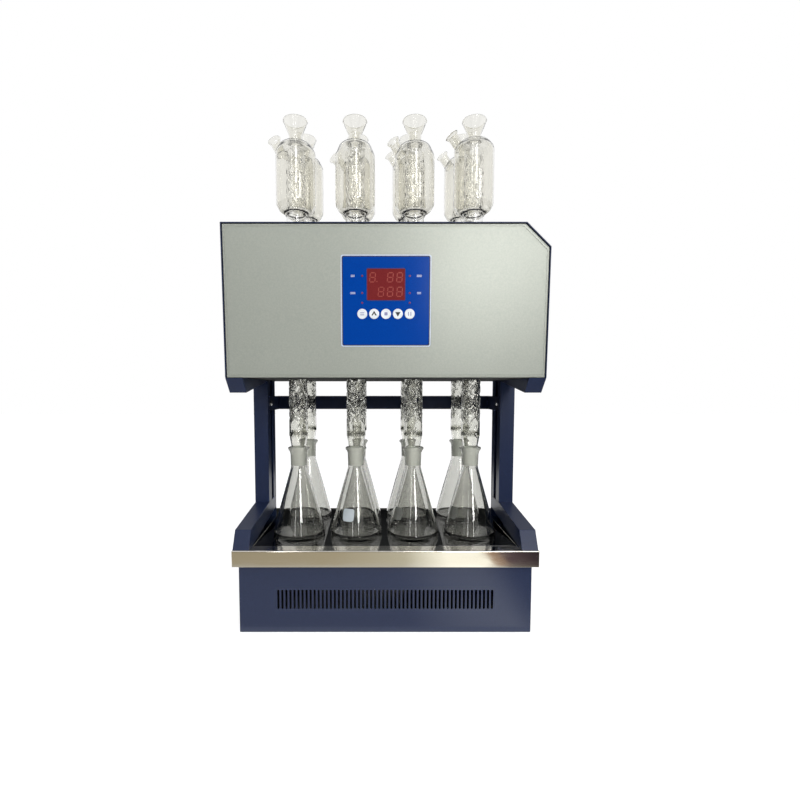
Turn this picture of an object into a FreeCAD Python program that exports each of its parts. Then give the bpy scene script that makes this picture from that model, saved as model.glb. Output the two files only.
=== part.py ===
import FreeCAD, Part
import os
import re

import Sketcher
from FreeCAD import Placement, Rotation, Vector

# Block digester with air-cooled reflux: a heated base, eight flasks in two rows
# of four, a condenser standing in each flask, and a cooling head on two side
# frames. Millimetres, +Z up, the front faces -Y. The origin is on the bench
# under the middle of the overall width and depth.

PLACES_ACROSS = 4
ROWS = ("front", "back")
VENT_COUNT = 54
REAR_VENT_ROWS = 4
TILE_GROOVES = 4
GRILLE_SLOTS = 8
FAN_BLADES = 7
BUTTONS = 5
BUTTON_NAMES = ("key_set", "key_up", "key_start", "key_down", "key_light")
# Degrees each condenser is turned in its joint, so its filling arm points left or back.
CONDENSER_TURNS = (0, -90, -8, 4, 6, -5, 3, -4)
# Bodies and shapes that are only members of a group or tools of a cut.
INNER_LABELS = ("foot", "tile", "groove", "grooves", "ribbed_tile", "screw_shank", "screw_head", "crossbar_screw",
                "board_post", "key_switch", "lamp")

# Driving dimensions: name, value, what it measures.
SIZES = [
    ("flask_gap", 8.4, "between neighbouring flasks across"),
    ("row_gap", 18.6, "between the flasks of the two rows"),
    ("front_apron", 43.0, "tray lip to the flasks of the front row"),
    ("back_apron", 10.4, "flasks of the back row to the tray's back"),
    ("plate_side_margin", 16.4, "outer flasks to the plate's edge"),
    ("overrun", 1.0, "how far a cut runs past the face it opens"),
    # base
    ("foot_height", 6.0, "rubber foot"),
    ("foot_radius", 12.0, "rubber foot at the cabinet"),
    ("foot_taper", 2.0, "how much smaller the foot's radius is on the bench"),
    ("foot_inset", 28.0, "foot axis from the cabinet's sides"),
    ("body_height", 128.0, "cabinet bottom to the plate surface"),
    ("cabinet_side_inset", 7.2, "tray lip to the cabinet's sides"),
    ("cabinet_inset", 10.0, "tray lip to the cabinet's front and back"),
    ("cabinet_wall", 1.2, "sheet of the cabinet"),
    ("vent_pitch", 6.04, "spacing of the front slots"),
    ("vent_width", 3.2, "front slot"),
    ("vent_height", 29.6, "front slot"),
    ("vent_rise", 50.5, "middle of the front slots above the cabinet's bottom"),
    ("rear_vent_length", 90.0, "slot in the rear panel"),
    ("rear_vent_height", 4.0, "slot in the rear panel"),
    ("rear_vent_pitch", 10.0, "spacing of the slots in the rear panel"),
    # tray and hot plate
    ("tray_border", 27.5, "plate's edge to the tray's lip at the sides"),
    ("tray_wall", 1.0, "sheet of the tray"),
    ("lip_height", 24.5, "lip folded down round the tray"),
    ("plate_thickness", 4.0, "glass-ceramic plate"),
    ("plate_front_margin", 22.5, "tray lip to the plate"),
    ("plate_back_margin", 8.0, "plate to the tray's back"),
    ("plate_fit", 0.3, "gap round the plate"),
    ("ledge_width", 8.0, "ledge under the plate's edge"),
    # heating under the plate
    ("pan_depth", 38.0, "heater pan"),
    ("pan_inset", 5.0, "pan wall from the edge of the tray's opening"),
    ("insulation_depth", 24.0, "ceramic-fibre board in the pan"),
    ("tile_gap", 1.7, "radiant heater tiles to the pan's back wall"),
    ("tile_thickness", 11.0, "radiant heater tile"),
    ("groove_width", 5.0, "coil groove in a tile"),
    ("groove_depth", 5.0, "coil groove in a tile"),
    ("groove_pitch", 14.0, "coil grooves in a tile"),
    ("probe_radius", 3.0, "temperature probe under the plate"),
    # rear of the base
    ("inlet_spacing", 54.0, "rocker switch to the mains inlet"),
    ("inlet_rise", 42.0, "mains inlet above the cabinet's bottom"),
    ("inlet_width", 28.0, "inlet body"),
    ("inlet_height", 20.5, "inlet body"),
    ("inlet_depth", 22.0, "inlet body inside the panel"),
    ("inlet_wall", 2.0, "inlet body round its socket"),
    ("inlet_flange", 5.0, "inlet flange past its body"),
    ("inlet_flange_thickness", 2.5, "inlet flange"),
    ("pin_length", 10.0, "inlet pins"),
    ("pin_width", 4.0, "inlet pins"),
    ("pin_thickness", 2.0, "inlet pins"),
    ("pin_spacing", 7.0, "inlet pins"),
    ("switch_offset", 96.0, "rocker switch from the middle"),
    ("switch_width", 14.0, "opening of the switch frame"),
    ("switch_height", 24.0, "opening of the switch frame"),
    ("switch_wall", 2.0, "switch frame"),
    ("switch_depth", 18.0, "switch frame inside the panel"),
    ("switch_bezel", 2.0, "switch frame outside the panel"),
    ("rocker_fit", 0.4, "gap round the rocker"),
    ("rocker_tilt", 11.0, "degrees the rocker stands off level"),
    ("rocker_thickness", 9.0, "rocker"),
    ("rocker_dish", 2.0, "depth of the rocker's hollow face"),
    ("rocker_pivot_radius", 1.5, "pivot pins of the rocker"),
    ("rocker_pivot_reach", 1.2, "pivot pins inside the walls of the switch frame"),
    ("rocker_pivot_end_gap", 0.2, "pivot pins to the ends of their holes"),
    ("rocker_pivot_fit", 0.06, "running gap round the pivot pins"),
    ("relay_offset", 150.0, "power relay from the middle"),
    ("relay_length", 58.0, "power relay"),
    ("relay_width", 45.0, "power relay"),
    ("relay_height", 28.0, "power relay"),
    ("terminal_length", 80.0, "terminal block"),
    ("terminal_width", 22.0, "terminal block"),
    ("terminal_height", 18.0, "terminal block"),
    # side frames
    ("frame_side_inset", 1.5, "tray lip to the side frames and the head"),
    ("frame_depth", 24.4, "side frame across"),
    ("frame_wall", 1.5, "sheet of the side frames and the head"),
    ("arm_foot_setback", 1.5, "tray lip to the foot of the lower arm"),
    ("arm_toe_setback", 16.0, "tray lip to the top of the arm's slanted front"),
    ("arm_toe_height", 26.8, "top of the arm's slanted front"),
    ("arm_shoulder_height", 40.0, "top of the lower arm at the column"),
    ("arm_relief_rise", 18.5, "height of the wedge cut at the foot of the arm's inner wall"),
    ("column_offset", 44.9, "axes of the front row to the column"),
    ("column_depth", 54.0, "column"),
    ("column_return", 19.0, "lips of the column's open channel"),
    ("upper_arm_drop", 21.0, "lowest point of the upper arm below the head"),
    ("upper_arm_setback", 5.0, "tray lip to the lowest point of the upper arm"),
    ("upper_arm_heel", 2.5, "upper arm at the column"),
    # crossbar
    ("crossbar_height", 25.0, "crossbar strap"),
    ("crossbar_drop", 28.1, "head to the top of the crossbar"),
    ("crossbar_gap", 5.9, "tubes of the back row to the crossbar"),
    ("crossbar_thickness", 2.0, "crossbar strap"),
    ("crossbar_screw_inset", 5.4, "crossbar's screws from the edge of the column's lip"),
    ("screw_radius", 2.0, "crossbar screws"),
    ("screw_head_radius", 3.8, "crossbar screws"),
    ("screw_head_height", 2.4, "crossbar screws"),
    ("screw_fit", 0.2, "gap round a screw"),
    # head
    ("head_rise", 252.5, "plate to the underside of the head"),
    ("head_height", 210.0, "head"),
    ("head_overhang_bottom", 13.7, "head's lower front edge ahead of the tray lip"),
    ("head_overhang_top", 22.3, "head's upper front edge ahead of the tray lip"),
    ("head_chamfer_width", 34.0, "cut corner at the head's upper right"),
    ("head_chamfer_height", 32.0, "cut corner at the head's upper right"),
    ("panel_gap", 0.8, "gap between the head's shell and its front panel"),
    ("panel_recess", 0.6, "front panel behind the shell's edge"),
    ("panel_thickness", 1.5, "front panel"),
    ("panel_flange", 12.0, "flange folded back at the panel's foot"),
    ("tube_hole_gap", 2.5, "gap round a condenser in the head"),
    # cooling fans
    ("fan_tube_gap", 6.4, "tubes of the back row to the fans"),
    ("fan_side", 92.0, "fan frame"),
    ("fan_thickness", 25.0, "fan frame"),
    ("fan_rim", 3.0, "fan frame at the narrowest place of its duct"),
    ("fan_hub_radius", 17.0, "fan rotor"),
    ("fan_tip_gap", 1.5, "blade tips to the duct"),
    ("fan_blade_thickness", 1.4, "fan blade"),
    ("fan_blade_pitch", 38.0, "degrees a blade is turned"),
    ("fan_rotor_length", 16.0, "fan rotor along its shaft"),
    ("fan_shaft_radius", 2.0, "fan shaft"),
    ("fan_shaft_fit", 0.06, "running gap on the shaft"),
    ("fan_plate", 3.0, "motor plate and struts of the fan"),
    ("fan_strut_width", 5.0, "struts of the fan"),
    ("fan_end_gap", 1.0, "rotor to the motor plate"),
    ("grille_margin", 8.0, "outer slots of the head's back panel inside the duct"),
    ("grille_slot", 5.0, "slots of the head's back panel"),
    # control panel
    ("overlay_side", 124.0, "blue control overlay"),
    ("overlay_thickness", 0.8, "blue control overlay"),
    ("window_width", 52.0, "red display window"),
    ("window_height", 42.0, "red display window"),
    ("window_rise", 22.3, "window above the overlay's middle"),
    ("window_thickness", 1.2, "red display window"),
    ("window_fit", 0.15, "gap round the window"),
    ("window_seat", 2.0, "window resting on the panel"),
    ("button_radius", 6.9, "key"),
    ("button_gap", 2.5, "between two keys"),
    ("button_drop", 17.4, "keys below the overlay's middle"),
    ("button_proud", 2.4, "keys above the overlay"),
    ("button_edge", 0.8, "chamfer of a key"),
    ("button_fit", 0.25, "gap round a key"),
    ("button_travel", 1.0, "travel of a key"),
    ("led_radius", 1.5, "indicator"),
    ("led_proud", 0.5, "indicator above the overlay"),
    ("led_gap", 6.6, "window to the indicators"),
    ("led_rise_top", 33.7, "top pair of indicators above the overlay's middle"),
    ("led_rise_mid", 10.8, "middle pair above the overlay's middle"),
    ("led_drop_low", 2.4, "low pair below the overlay's middle"),
    ("board_side", 112.0, "control board"),
    ("board_thickness", 1.6, "control board"),
    ("board_gap", 12.0, "front panel to the control board"),
    ("standoff_radius", 3.0, "posts of the control board"),
    ("standoff_inset", 6.0, "posts from the board's edges"),
    ("tact_side", 6.0, "switch under a key"),
    ("tact_height", 5.0, "switch under a key"),
    ("display_width", 46.0, "display module"),
    ("display_height", 36.0, "display module"),
    # flasks
    ("flask_radius", 42.5, "widest part"),
    ("flask_height", 143.0, "flask"),
    ("flask_heel", 4.0, "rounding of the base, in from the side"),
    ("flask_heel_height", 4.5, "rounding of the base, up from the plate"),
    ("flask_wall", 2.1, "glass"),
    ("flask_floor", 3.5, "glass"),
    ("neck_height", 33.0, "neck with its ground socket"),
    ("neck_wall", 2.4, "neck under its rim outside the joint"),
    ("neck_foot_wall", 0.9, "neck at the shoulder outside the joint's large end"),
    ("rim_bead", 3.0, "beaded rim past the neck"),
    ("rim_height", 4.0, "beaded rim"),
    ("joint_radius", 12.0, "large end of the ground joint"),
    ("joint_length", 29.0, "ground joint"),
    ("joint_slope_share", 0.05, "radius lost per length of the joint"),
    ("joint_fit", 0.08, "gap in the ground joint"),
    # condensers
    ("tube_step", 3.0, "condenser tube past the joint's large end"),
    ("tube_wall", 2.0, "glass"),
    ("taper_length", 23.0, "tube drawn in above the flask"),
    ("bulb_gap", 50.5, "top of the head to the foot of the bulb, front row"),
    ("back_row_rise", 28.0, "how much longer the back row's tubes are"),
    ("bulb_radius", 31.0, "water bulb"),
    ("bulb_wall", 1.8, "glass"),
    ("bulb_foot", 18.6, "lower shoulder of the bulb"),
    ("bulb_length", 76.4, "straight part of the bulb"),
    ("bulb_shoulder", 19.0, "upper shoulder of the bulb"),
    ("joint_wall", 3.8, "joint's large end to the bore of the ground cone and the stem"),
    ("stem_wall", 3.0, "glass of the neck above the bulb"),
    ("stem_length", 15.5, "neck above the bulb"),
    ("funnel_radius", 19.0, "rim of the funnel"),
    ("funnel_height", 12.5, "funnel"),
    ("filler_radius", 8.2, "filling arm of the bulb"),
    ("filler_rim", 10.6, "flared rim of the filling arm"),
    ("filler_rim_height", 4.0, "flared rim of the filling arm"),
    ("filler_length", 20.0, "filling arm from the shoulder"),
    ("filler_rise", 4.0, "filling arm's foot above the straight part of the bulb"),
    ("filler_inset", 7.0, "axis of the filling arm's foot inside the bulb"),
    ("filler_sink", 5.0, "filling arm inside the shoulder"),
    ("filler_tilt", 33.0, "degrees the filling arm leans"),
]

# Sizes that follow from the ones above: name, formula, what it measures.
FOLLOWING = [
    ("place_pitch", "2 * flask_radius + flask_gap", "spacing of the flasks across"),
    ("row_pitch", "2 * flask_radius + row_gap", "spacing of the two rows"),
    ("front_row_setback", "flask_radius + front_apron", "tray lip to the axes of the front row"),
    ("back_row_setback", "front_row_setback + row_pitch", "tray lip to the axes of the back row"),
    ("tray_depth", "back_row_setback + flask_radius + back_apron", "stainless tray"),
    ("plate_width", f"{PLACES_ACROSS - 1} * place_pitch + 2 * (flask_radius + plate_side_margin)",
     "glass-ceramic plate"),
    ("tray_width", "plate_width + 2 * tray_border", "stainless tray"),
    ("cabinet_width", "tray_width - 2 * cabinet_side_inset", "painted cabinet"),
    ("tile_side", "2 * (flask_radius + back_apron - plate_back_margin - pan_inset - cabinet_wall - tile_gap)",
     "radiant heater tile"),
    ("inlet_offset", "switch_offset + inlet_spacing", "mains inlet from the middle"),
    ("frame_width", "tray_width - 2 * frame_side_inset", "over both side frames, and the head"),
    ("column_setback", "front_row_setback + column_offset", "tray lip to the column"),
    ("tube_radius", "joint_radius + tube_step", "condenser tube"),
    ("tube_hole_radius", "tube_radius + tube_hole_gap", "openings for the condensers"),
    ("crossbar_rise", "head_rise - crossbar_drop - crossbar_height", "plate to the underside of the crossbar"),
    ("crossbar_setback", "back_row_setback + tube_radius + crossbar_gap", "tray lip to the face of the crossbar"),
    ("crossbar_screw_setback", "column_setback + column_return - crossbar_screw_inset",
     "tray lip to the crossbar's screws"),
    ("head_back_setback", "back_row_setback + tube_radius + fan_tube_gap + fan_thickness + frame_wall",
     "tray lip to the head's back"),
    ("fan_bore", "fan_side / 2 - fan_rim", "radius of the fan's duct"),
    ("grille_pitch", f"2 * (fan_bore - grille_margin) / {GRILLE_SLOTS - 1}", "slots of the head's back panel"),
    ("button_pitch", "2 * button_radius + button_gap", "spacing of the keys"),
    ("led_offset", "window_width / 2 + led_gap", "indicators from the overlay's middle"),
    ("neck_radius", "joint_radius + neck_wall", "neck under its rim"),
    ("neck_foot_radius", "joint_radius + neck_foot_wall", "neck at the shoulder"),
    ("rim_radius", "neck_radius + rim_bead", "beaded rim"),
    ("bulb_rise", "head_rise + head_height + bulb_gap", "plate to the foot of the bulb, front row"),
    ("core_bore", "joint_radius - joint_wall", "bore at the ground cone and through the stem"),
    ("stem_radius", "core_bore + stem_wall", "neck above the bulb"),
    ("filler_offset", "bulb_radius - filler_inset", "filling arm's foot from the axis"),
]

doc = FreeCAD.newDocument("BlockDigester")
sheet = doc.addObject("Spreadsheet::Sheet", "dims")
for row, (alias, amount, note) in enumerate(SIZES + FOLLOWING, start=1):
    sheet.set("A%d" % row, alias)
    sheet.setAlias("B%d" % row, alias)
    sheet.set("C%d" % row, note)
for row, (alias, amount, note) in enumerate(SIZES + FOLLOWING, start=1):
    sheet.set("B%d" % row, "=" + amount if isinstance(amount, str) else str(amount))
doc.recompute()

ALIASES = {alias for alias, amount, note in SIZES + FOLLOWING}

# Heights and depths that several pieces share, worked out from the sheet.
FRONT = "(-(tray_depth - head_overhang_top) / 2)"
PLATE_TOP = "(foot_height + body_height)"
CABINET_DEPTH = "(tray_depth - 2 * cabinet_inset)"
CABINET_FRONT = f"({FRONT} + cabinet_inset)"
CABINET_BACK = f"({CABINET_FRONT} + {CABINET_DEPTH})"
PLATE_DEPTH = "(tray_depth - plate_front_margin - plate_back_margin)"
PLATE_FRONT = f"({FRONT} + plate_front_margin)"
PLATE_MIDDLE = f"({PLATE_FRONT} + {PLATE_DEPTH} / 2)"
LEDGE_TOP = f"({PLATE_TOP} - plate_thickness)"
PAN_TOP = f"({LEDGE_TOP} - tray_wall)"
PAN_FLOOR = f"({PAN_TOP} - pan_depth)"
BOARD_TOP = f"({PAN_FLOOR} + cabinet_wall + insulation_depth)"
FRAME_OUTER = "(frame_width / 2)"
FRAME_INNER = "(frame_width / 2 - frame_depth)"
COLUMN_FRONT = f"({FRONT} + column_setback)"
COLUMN_BACK = f"({COLUMN_FRONT} + column_depth)"
COLUMN_FOOT = f"({PLATE_TOP} + arm_shoulder_height)"
CROSSBAR_FOOT = f"({PLATE_TOP} + crossbar_rise)"
HEAD_FOOT = f"({PLATE_TOP} + head_rise)"
HEAD_FRONT = f"({FRONT} - head_overhang_bottom)"
HEAD_BACK = f"({FRONT} + head_back_setback)"
HEAD_LEAN = "atan((head_overhang_top - head_overhang_bottom) / head_height)"
FAN_BACK = f"({HEAD_BACK} - frame_wall)"
FAN_AXIS_HEIGHT = f"({HEAD_FOOT} + head_height / 2)"


def bound(text):
    """The expression with each size named as a cell of the sheet."""
    return re.sub(r"[a-z_]+", lambda word: "dims." + word.group(0) if word.group(0) in ALIASES else word.group(0),
                  str(text))


def value(text):
    """The number that an expression of sizes gives now."""
    result = sheet.evalExpression(bound(text))
    return float(getattr(result, "Value", result))


def bind(thing, **settings):
    """Ties properties of a document object to expressions of sizes."""
    for name, text in settings.items():
        thing.setExpression(name.replace("__", "."), bound(text))


def place(thing, x="0", y="0", z="0"):
    """Ties an object's position to expressions of sizes."""
    bind(thing, Placement__Base__x=x, Placement__Base__y=y, Placement__Base__z=z)


def new_body(label, x="0", y="0", z="0"):
    """An empty body under the sub-part's name, at its place."""
    body = doc.addObject("PartDesign::Body", label)
    body.Label = label
    place(body, x, y, z)
    return body


def new_sketch(body, role, depth="0"):
    """A sketch on one of the body's own planes, set off along its normal."""
    sketch = body.newObject("Sketcher::SketchObject", body.Name + "_sketch")
    plane = next(f for f in body.Origin.OriginFeatures if f.Role == role)
    sketch.AttachmentSupport = [(plane, "")]
    sketch.MapMode = "FlatFace"
    bind(sketch, AttachmentOffset__Base__z=depth)
    return sketch


def tie(sketch, kind, line, end, text):
    """Fixes one coordinate of a sketch point to an expression."""
    number = value(text)
    if abs(number) < 1e-9:
        axis = -2 if kind == "DistanceX" else -1
        sketch.addConstraint(Sketcher.Constraint("PointOnObject", line, end, axis))
        return
    at = sketch.addConstraint(Sketcher.Constraint(kind, -1, 1, line, end, number))
    sketch.setExpression("Constraints[%d]" % at, bound(text))


def outline(sketch, corners):
    """A closed outline through corners given as pairs of expressions."""
    points = [Vector(value(a), value(b), 0) for a, b in corners]
    count = len(points)
    first = sketch.GeometryCount
    for i in range(count):
        sketch.addGeometry(Part.LineSegment(points[i], points[(i + 1) % count]))
    for i in range(count):
        after = first + (i + 1) % count
        sketch.addConstraint(Sketcher.Constraint("Coincident", first + i, 2, after, 1))
    for i, (a, b) in enumerate(corners):
        tie(sketch, "DistanceX", first + i, 1, a)
        tie(sketch, "DistanceY", first + i, 1, b)


def rectangle(sketch, width, height, x="0", y="0"):
    """A rectangle round the point x, y."""
    left, right = f"{x} - ({width}) / 2", f"{x} + ({width}) / 2"
    low, high = f"{y} - ({height}) / 2", f"{y} + ({height}) / 2"
    outline(sketch, [(left, low), (right, low), (right, high), (left, high)])


def circle(sketch, radius, x="0", y="0"):
    """A circle round the point x, y."""
    centre = Vector(value(x), value(y), 0)
    ring = sketch.addGeometry(Part.Circle(centre, Vector(0, 0, 1), value(radius)))
    tie(sketch, "DistanceX", ring, 3, x)
    tie(sketch, "DistanceY", ring, 3, y)
    at = sketch.addConstraint(Sketcher.Constraint("Radius", ring, value(radius)))
    sketch.setExpression("Constraints[%d]" % at, bound(radius))


def pad(body, sketch, length, reverse=False, midplane=False):
    """Adds the sketch's section along its normal."""
    feature = body.newObject("PartDesign::Pad", body.Name + "_pad")
    feature.Profile = sketch
    feature.Reversed = reverse
    feature.Midplane = midplane
    bind(feature, Length=length)
    return feature


def pocket(body, sketch, length, reverse=False, midplane=False):
    """Cuts the sketch's section; unreversed, it cuts against the normal."""
    doc.recompute()
    before = body.Shape.Volume
    feature = body.newObject("PartDesign::Pocket", body.Name + "_pocket")
    feature.Profile = sketch
    feature.Reversed = reverse
    feature.Midplane = midplane
    bind(feature, Length=length)
    doc.recompute()
    if not body.Shape.Volume < before - 1e-6:
        raise RuntimeError(feature.Label + " cuts nothing")
    return feature


def turn(body, sketch, kind="PartDesign::Revolution"):
    """Turns the sketch's section round its upright axis, as material or as a cut."""
    feature = body.newObject(kind, body.Name + "_turned")
    feature.Profile = sketch
    feature.ReferenceAxis = (sketch, ["V_Axis"])
    feature.Angle = 360
    return feature


def repeat(body, features, axis, length, count):
    """Repeats features in a row along an axis of the body's last sketch."""
    feature = body.newObject("PartDesign::LinearPattern", body.Name + "_row")
    feature.Originals = features
    feature.Direction = (features[0].Profile[0], [axis])
    feature.Occurrences = count
    bind(feature, Length=length)
    body.Tip = feature
    return feature


def group(label, members):
    """One node that holds several separate solids."""
    node = doc.addObject("Part::Compound", label)
    node.Label = label
    node.Links = members
    return node


def block(label, width, depth, height, x, y, z):
    """A box round x, y that stands on z."""
    box = doc.addObject("Part::Box", label)
    box.Label = label
    bind(box, Length=width, Width=depth, Height=height)
    place(box, f"{x} - ({width}) / 2", f"{y} - ({depth}) / 2", z)
    return box


def rod(label, radius, length, x, y, z, axis=None):
    """A round bar from x, y, z along +Z, or along the given axis."""
    bar = doc.addObject("Part::Cylinder", label)
    bar.Label = label
    bind(bar, Radius=radius, Height=length)
    place(bar, x, y, z)
    if axis is not None:
        bar.Placement.Rotation = Rotation(Vector(0, 0, 1), axis)
    return bar


def place_x(column):
    """Distance of a flask's axis from the middle, columns counted from the left."""
    return f"{column - (PLACES_ACROSS - 1) / 2} * place_pitch"


def row_y(row):
    """Depth of a row's axes."""
    return f"({FRONT} + front_row_setback + {ROWS.index(row)} * row_pitch)"


def tube_holes(sketch, y_sign=1):
    """The eight round openings for the condensers."""
    for row in ROWS:
        for column in range(PLACES_ACROSS):
            circle(sketch, "tube_hole_radius", place_x(column), f"{y_sign} * {row_y(row)}")


# Base cabinet


def make_feet():
    feet = []
    side = "(cabinet_width / 2 - foot_inset)"
    near = f"({CABINET_FRONT} + foot_inset)"
    far = f"({CABINET_BACK} - foot_inset)"
    for x in (f"-{side}", side):
        for y in (near, far):
            foot = doc.addObject("Part::Cone", "foot")
            bind(foot, Radius1="foot_radius - foot_taper", Radius2="foot_radius", Height="foot_height")
            place(foot, x, y)
            feet.append(foot)
    return group("rubber_feet", feet)


def make_cabinet():
    """Front and sides in one folded sheet, with the row of slots in the front."""
    body = new_body("base_cabinet", z="foot_height")
    plan = new_sketch(body, "XY_Plane")
    out = "cabinet_width / 2"
    inn = "(cabinet_width / 2 - cabinet_wall)"
    front_in = f"{CABINET_FRONT} + cabinet_wall"
    outline(plan, [(f"-{out}", CABINET_FRONT), (out, CABINET_FRONT), (out, CABINET_BACK), (inn, CABINET_BACK),
                   (inn, front_in), (f"-{inn}", front_in), (f"-{inn}", CABINET_BACK), (f"-{out}", CABINET_BACK)])
    pad(body, plan, "body_height - tray_wall")
    slot = new_sketch(body, "XZ_Plane", f"-({front_in}) - overrun")
    row_length = f"({VENT_COUNT - 1} * vent_pitch)"
    left, right = f"-{row_length} / 2 - vent_width / 2", f"-{row_length} / 2 + vent_width / 2"
    low, high = "vent_rise - vent_height / 2", "vent_rise + vent_height / 2"
    outline(slot, [(left, low), (right, low), (right, high), (left, high)])
    cut = pocket(body, slot, "cabinet_wall + 2 * overrun", reverse=True)
    repeat(body, [cut], "H_Axis", row_length, VENT_COUNT)


def make_floor():
    block("base_floor", "cabinet_width - 2 * cabinet_wall", f"{CABINET_DEPTH} - 2 * cabinet_wall", "cabinet_wall",
          "0", f"({CABINET_FRONT} + {CABINET_DEPTH} / 2)", "foot_height")


def make_rear_panel():
    """Back of the cabinet: slots, and openings for the inlet and the switch."""
    body = new_body("base_rear_panel", y=f"{CABINET_BACK} - cabinet_wall", z="foot_height")
    sheet_plan = new_sketch(body, "XZ_Plane")
    width = "(cabinet_width - 2 * cabinet_wall)"
    height = "(body_height - plate_thickness - tray_wall)"
    outline(sheet_plan, [(f"-{width} / 2", "0"), (f"{width} / 2", "0"), (f"{width} / 2", height),
                         (f"-{width} / 2", height)])
    pad(body, sheet_plan, "cabinet_wall", reverse=True)
    fittings = new_sketch(body, "XZ_Plane", "overrun")
    rectangle(fittings, "inlet_width", "inlet_height", "inlet_offset", "inlet_rise")
    rectangle(fittings, "switch_width + 2 * switch_wall", "switch_height + 2 * switch_wall",
              "switch_offset", "inlet_rise")
    for side in (-1, 1):
        for step in range(REAR_VENT_ROWS):
            rise = f"(vent_rise + {step - (REAR_VENT_ROWS - 1) / 2} * rear_vent_pitch)"
            rectangle(fittings, "rear_vent_length", "rear_vent_height",
                      f"{side} * rear_vent_length * 0.6 - switch_offset", rise)
    pocket(body, fittings, "cabinet_wall + 2 * overrun")


# Tray, plate and heating


def make_tray():
    """Stainless top: rim with the lip folded down, and the ledge the plate lies on."""
    body = new_body("steel_tray", y=f"{FRONT} + tray_depth / 2")
    lip = new_sketch(body, "XY_Plane", f"{PLATE_TOP} - lip_height")
    rectangle(lip, "tray_width", "tray_depth")
    rectangle(lip, "tray_width - 2 * tray_wall", "tray_depth - 2 * tray_wall")
    pad(body, lip, "lip_height")
    opening_width = "(plate_width + 2 * plate_fit)"
    opening_depth = f"({PLATE_DEPTH} + 2 * plate_fit)"
    shift = "(plate_front_margin - plate_back_margin) / 2"
    top = new_sketch(body, "XY_Plane", f"{PLATE_TOP} - tray_wall")
    rectangle(top, "tray_width", "tray_depth")
    rectangle(top, opening_width, opening_depth, y=shift)
    pad(body, top, "tray_wall")
    drop = new_sketch(body, "XY_Plane", f"{LEDGE_TOP} - tray_wall")
    rectangle(drop, f"{opening_width} + 2 * tray_wall", f"{opening_depth} + 2 * tray_wall", y=shift)
    rectangle(drop, opening_width, opening_depth, y=shift)
    pad(body, drop, "plate_thickness + tray_wall")
    ledge = new_sketch(body, "XY_Plane", f"{LEDGE_TOP} - tray_wall")
    rectangle(ledge, f"{opening_width} + tray_wall", f"{opening_depth} + tray_wall", y=shift)
    rectangle(ledge, f"{opening_width} - 2 * ledge_width", f"{opening_depth} - 2 * ledge_width", y=shift)
    pad(body, ledge, "tray_wall")


def make_plate():
    block("glass_ceramic_plate", "plate_width", PLATE_DEPTH, "plate_thickness", "0", PLATE_MIDDLE, LEDGE_TOP)


def make_heater_pan():
    """Open steel pan under the ledge that carries the insulation."""
    body = new_body("heater_pan", y=PLATE_MIDDLE, z=PAN_FLOOR)
    width, depth = "(plate_width - 2 * pan_inset)", f"({PLATE_DEPTH} - 2 * pan_inset)"
    plan = new_sketch(body, "XY_Plane")
    rectangle(plan, width, depth)
    pad(body, plan, "pan_depth")
    hollow = new_sketch(body, "XY_Plane", "cabinet_wall")
    rectangle(hollow, f"{width} - 2 * cabinet_wall", f"{depth} - 2 * cabinet_wall")
    pocket(body, hollow, "pan_depth", reverse=True)


def make_insulation():
    block("insulation_board", "plate_width - 2 * pan_inset - 2 * cabinet_wall",
          f"{PLATE_DEPTH} - 2 * pan_inset - 2 * cabinet_wall", "insulation_depth", "0", PLATE_MIDDLE,
          f"{PAN_FLOOR} + cabinet_wall")


def make_heater_tile(row, column):
    """One ribbed radiant tile under a flask, its grooves open upwards."""
    tile = doc.addObject("Part::Box", "tile")
    bind(tile, Length="tile_side", Width="tile_side", Height="tile_thickness")
    centre = place_x(column)
    place(tile, f"{centre} - tile_side / 2", f"{row_y(row)} - tile_side / 2", BOARD_TOP)
    grooves = []
    for step in range(TILE_GROOVES):
        groove = doc.addObject("Part::Box", "groove")
        bind(groove, Length="groove_width", Width="tile_side + 2 * overrun", Height="groove_depth + overrun")
        offset = f"{step - (TILE_GROOVES - 1) / 2} * groove_pitch"
        place(groove, f"{centre} + {offset} - groove_width / 2", f"{row_y(row)} - tile_side / 2 - overrun",
              f"{BOARD_TOP} + tile_thickness - groove_depth")
        grooves.append(groove)
    cutters = doc.addObject("Part::Compound", "grooves")
    cutters.Links = grooves
    ribbed = doc.addObject("Part::Cut", "ribbed_tile")
    ribbed.Base = tile
    ribbed.Tool = cutters
    return ribbed


def make_heating():
    group("heater_tiles", [make_heater_tile(row, column) for row in ROWS for column in range(PLACES_ACROSS)])
    rod("temperature_probe", "probe_radius", f"{LEDGE_TOP} - {BOARD_TOP}", "0",
        f"({row_y('front')} + row_pitch / 2)", BOARD_TOP)


def make_power_parts():
    back = f"({CABINET_BACK} - cabinet_inset - relay_width)"
    floor = "foot_height + cabinet_wall"
    block("power_relay", "relay_length", "relay_width", "relay_height", "-relay_offset", back, floor)
    block("terminal_block", "terminal_length", "terminal_width", "terminal_height", "0", back, floor)


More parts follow.
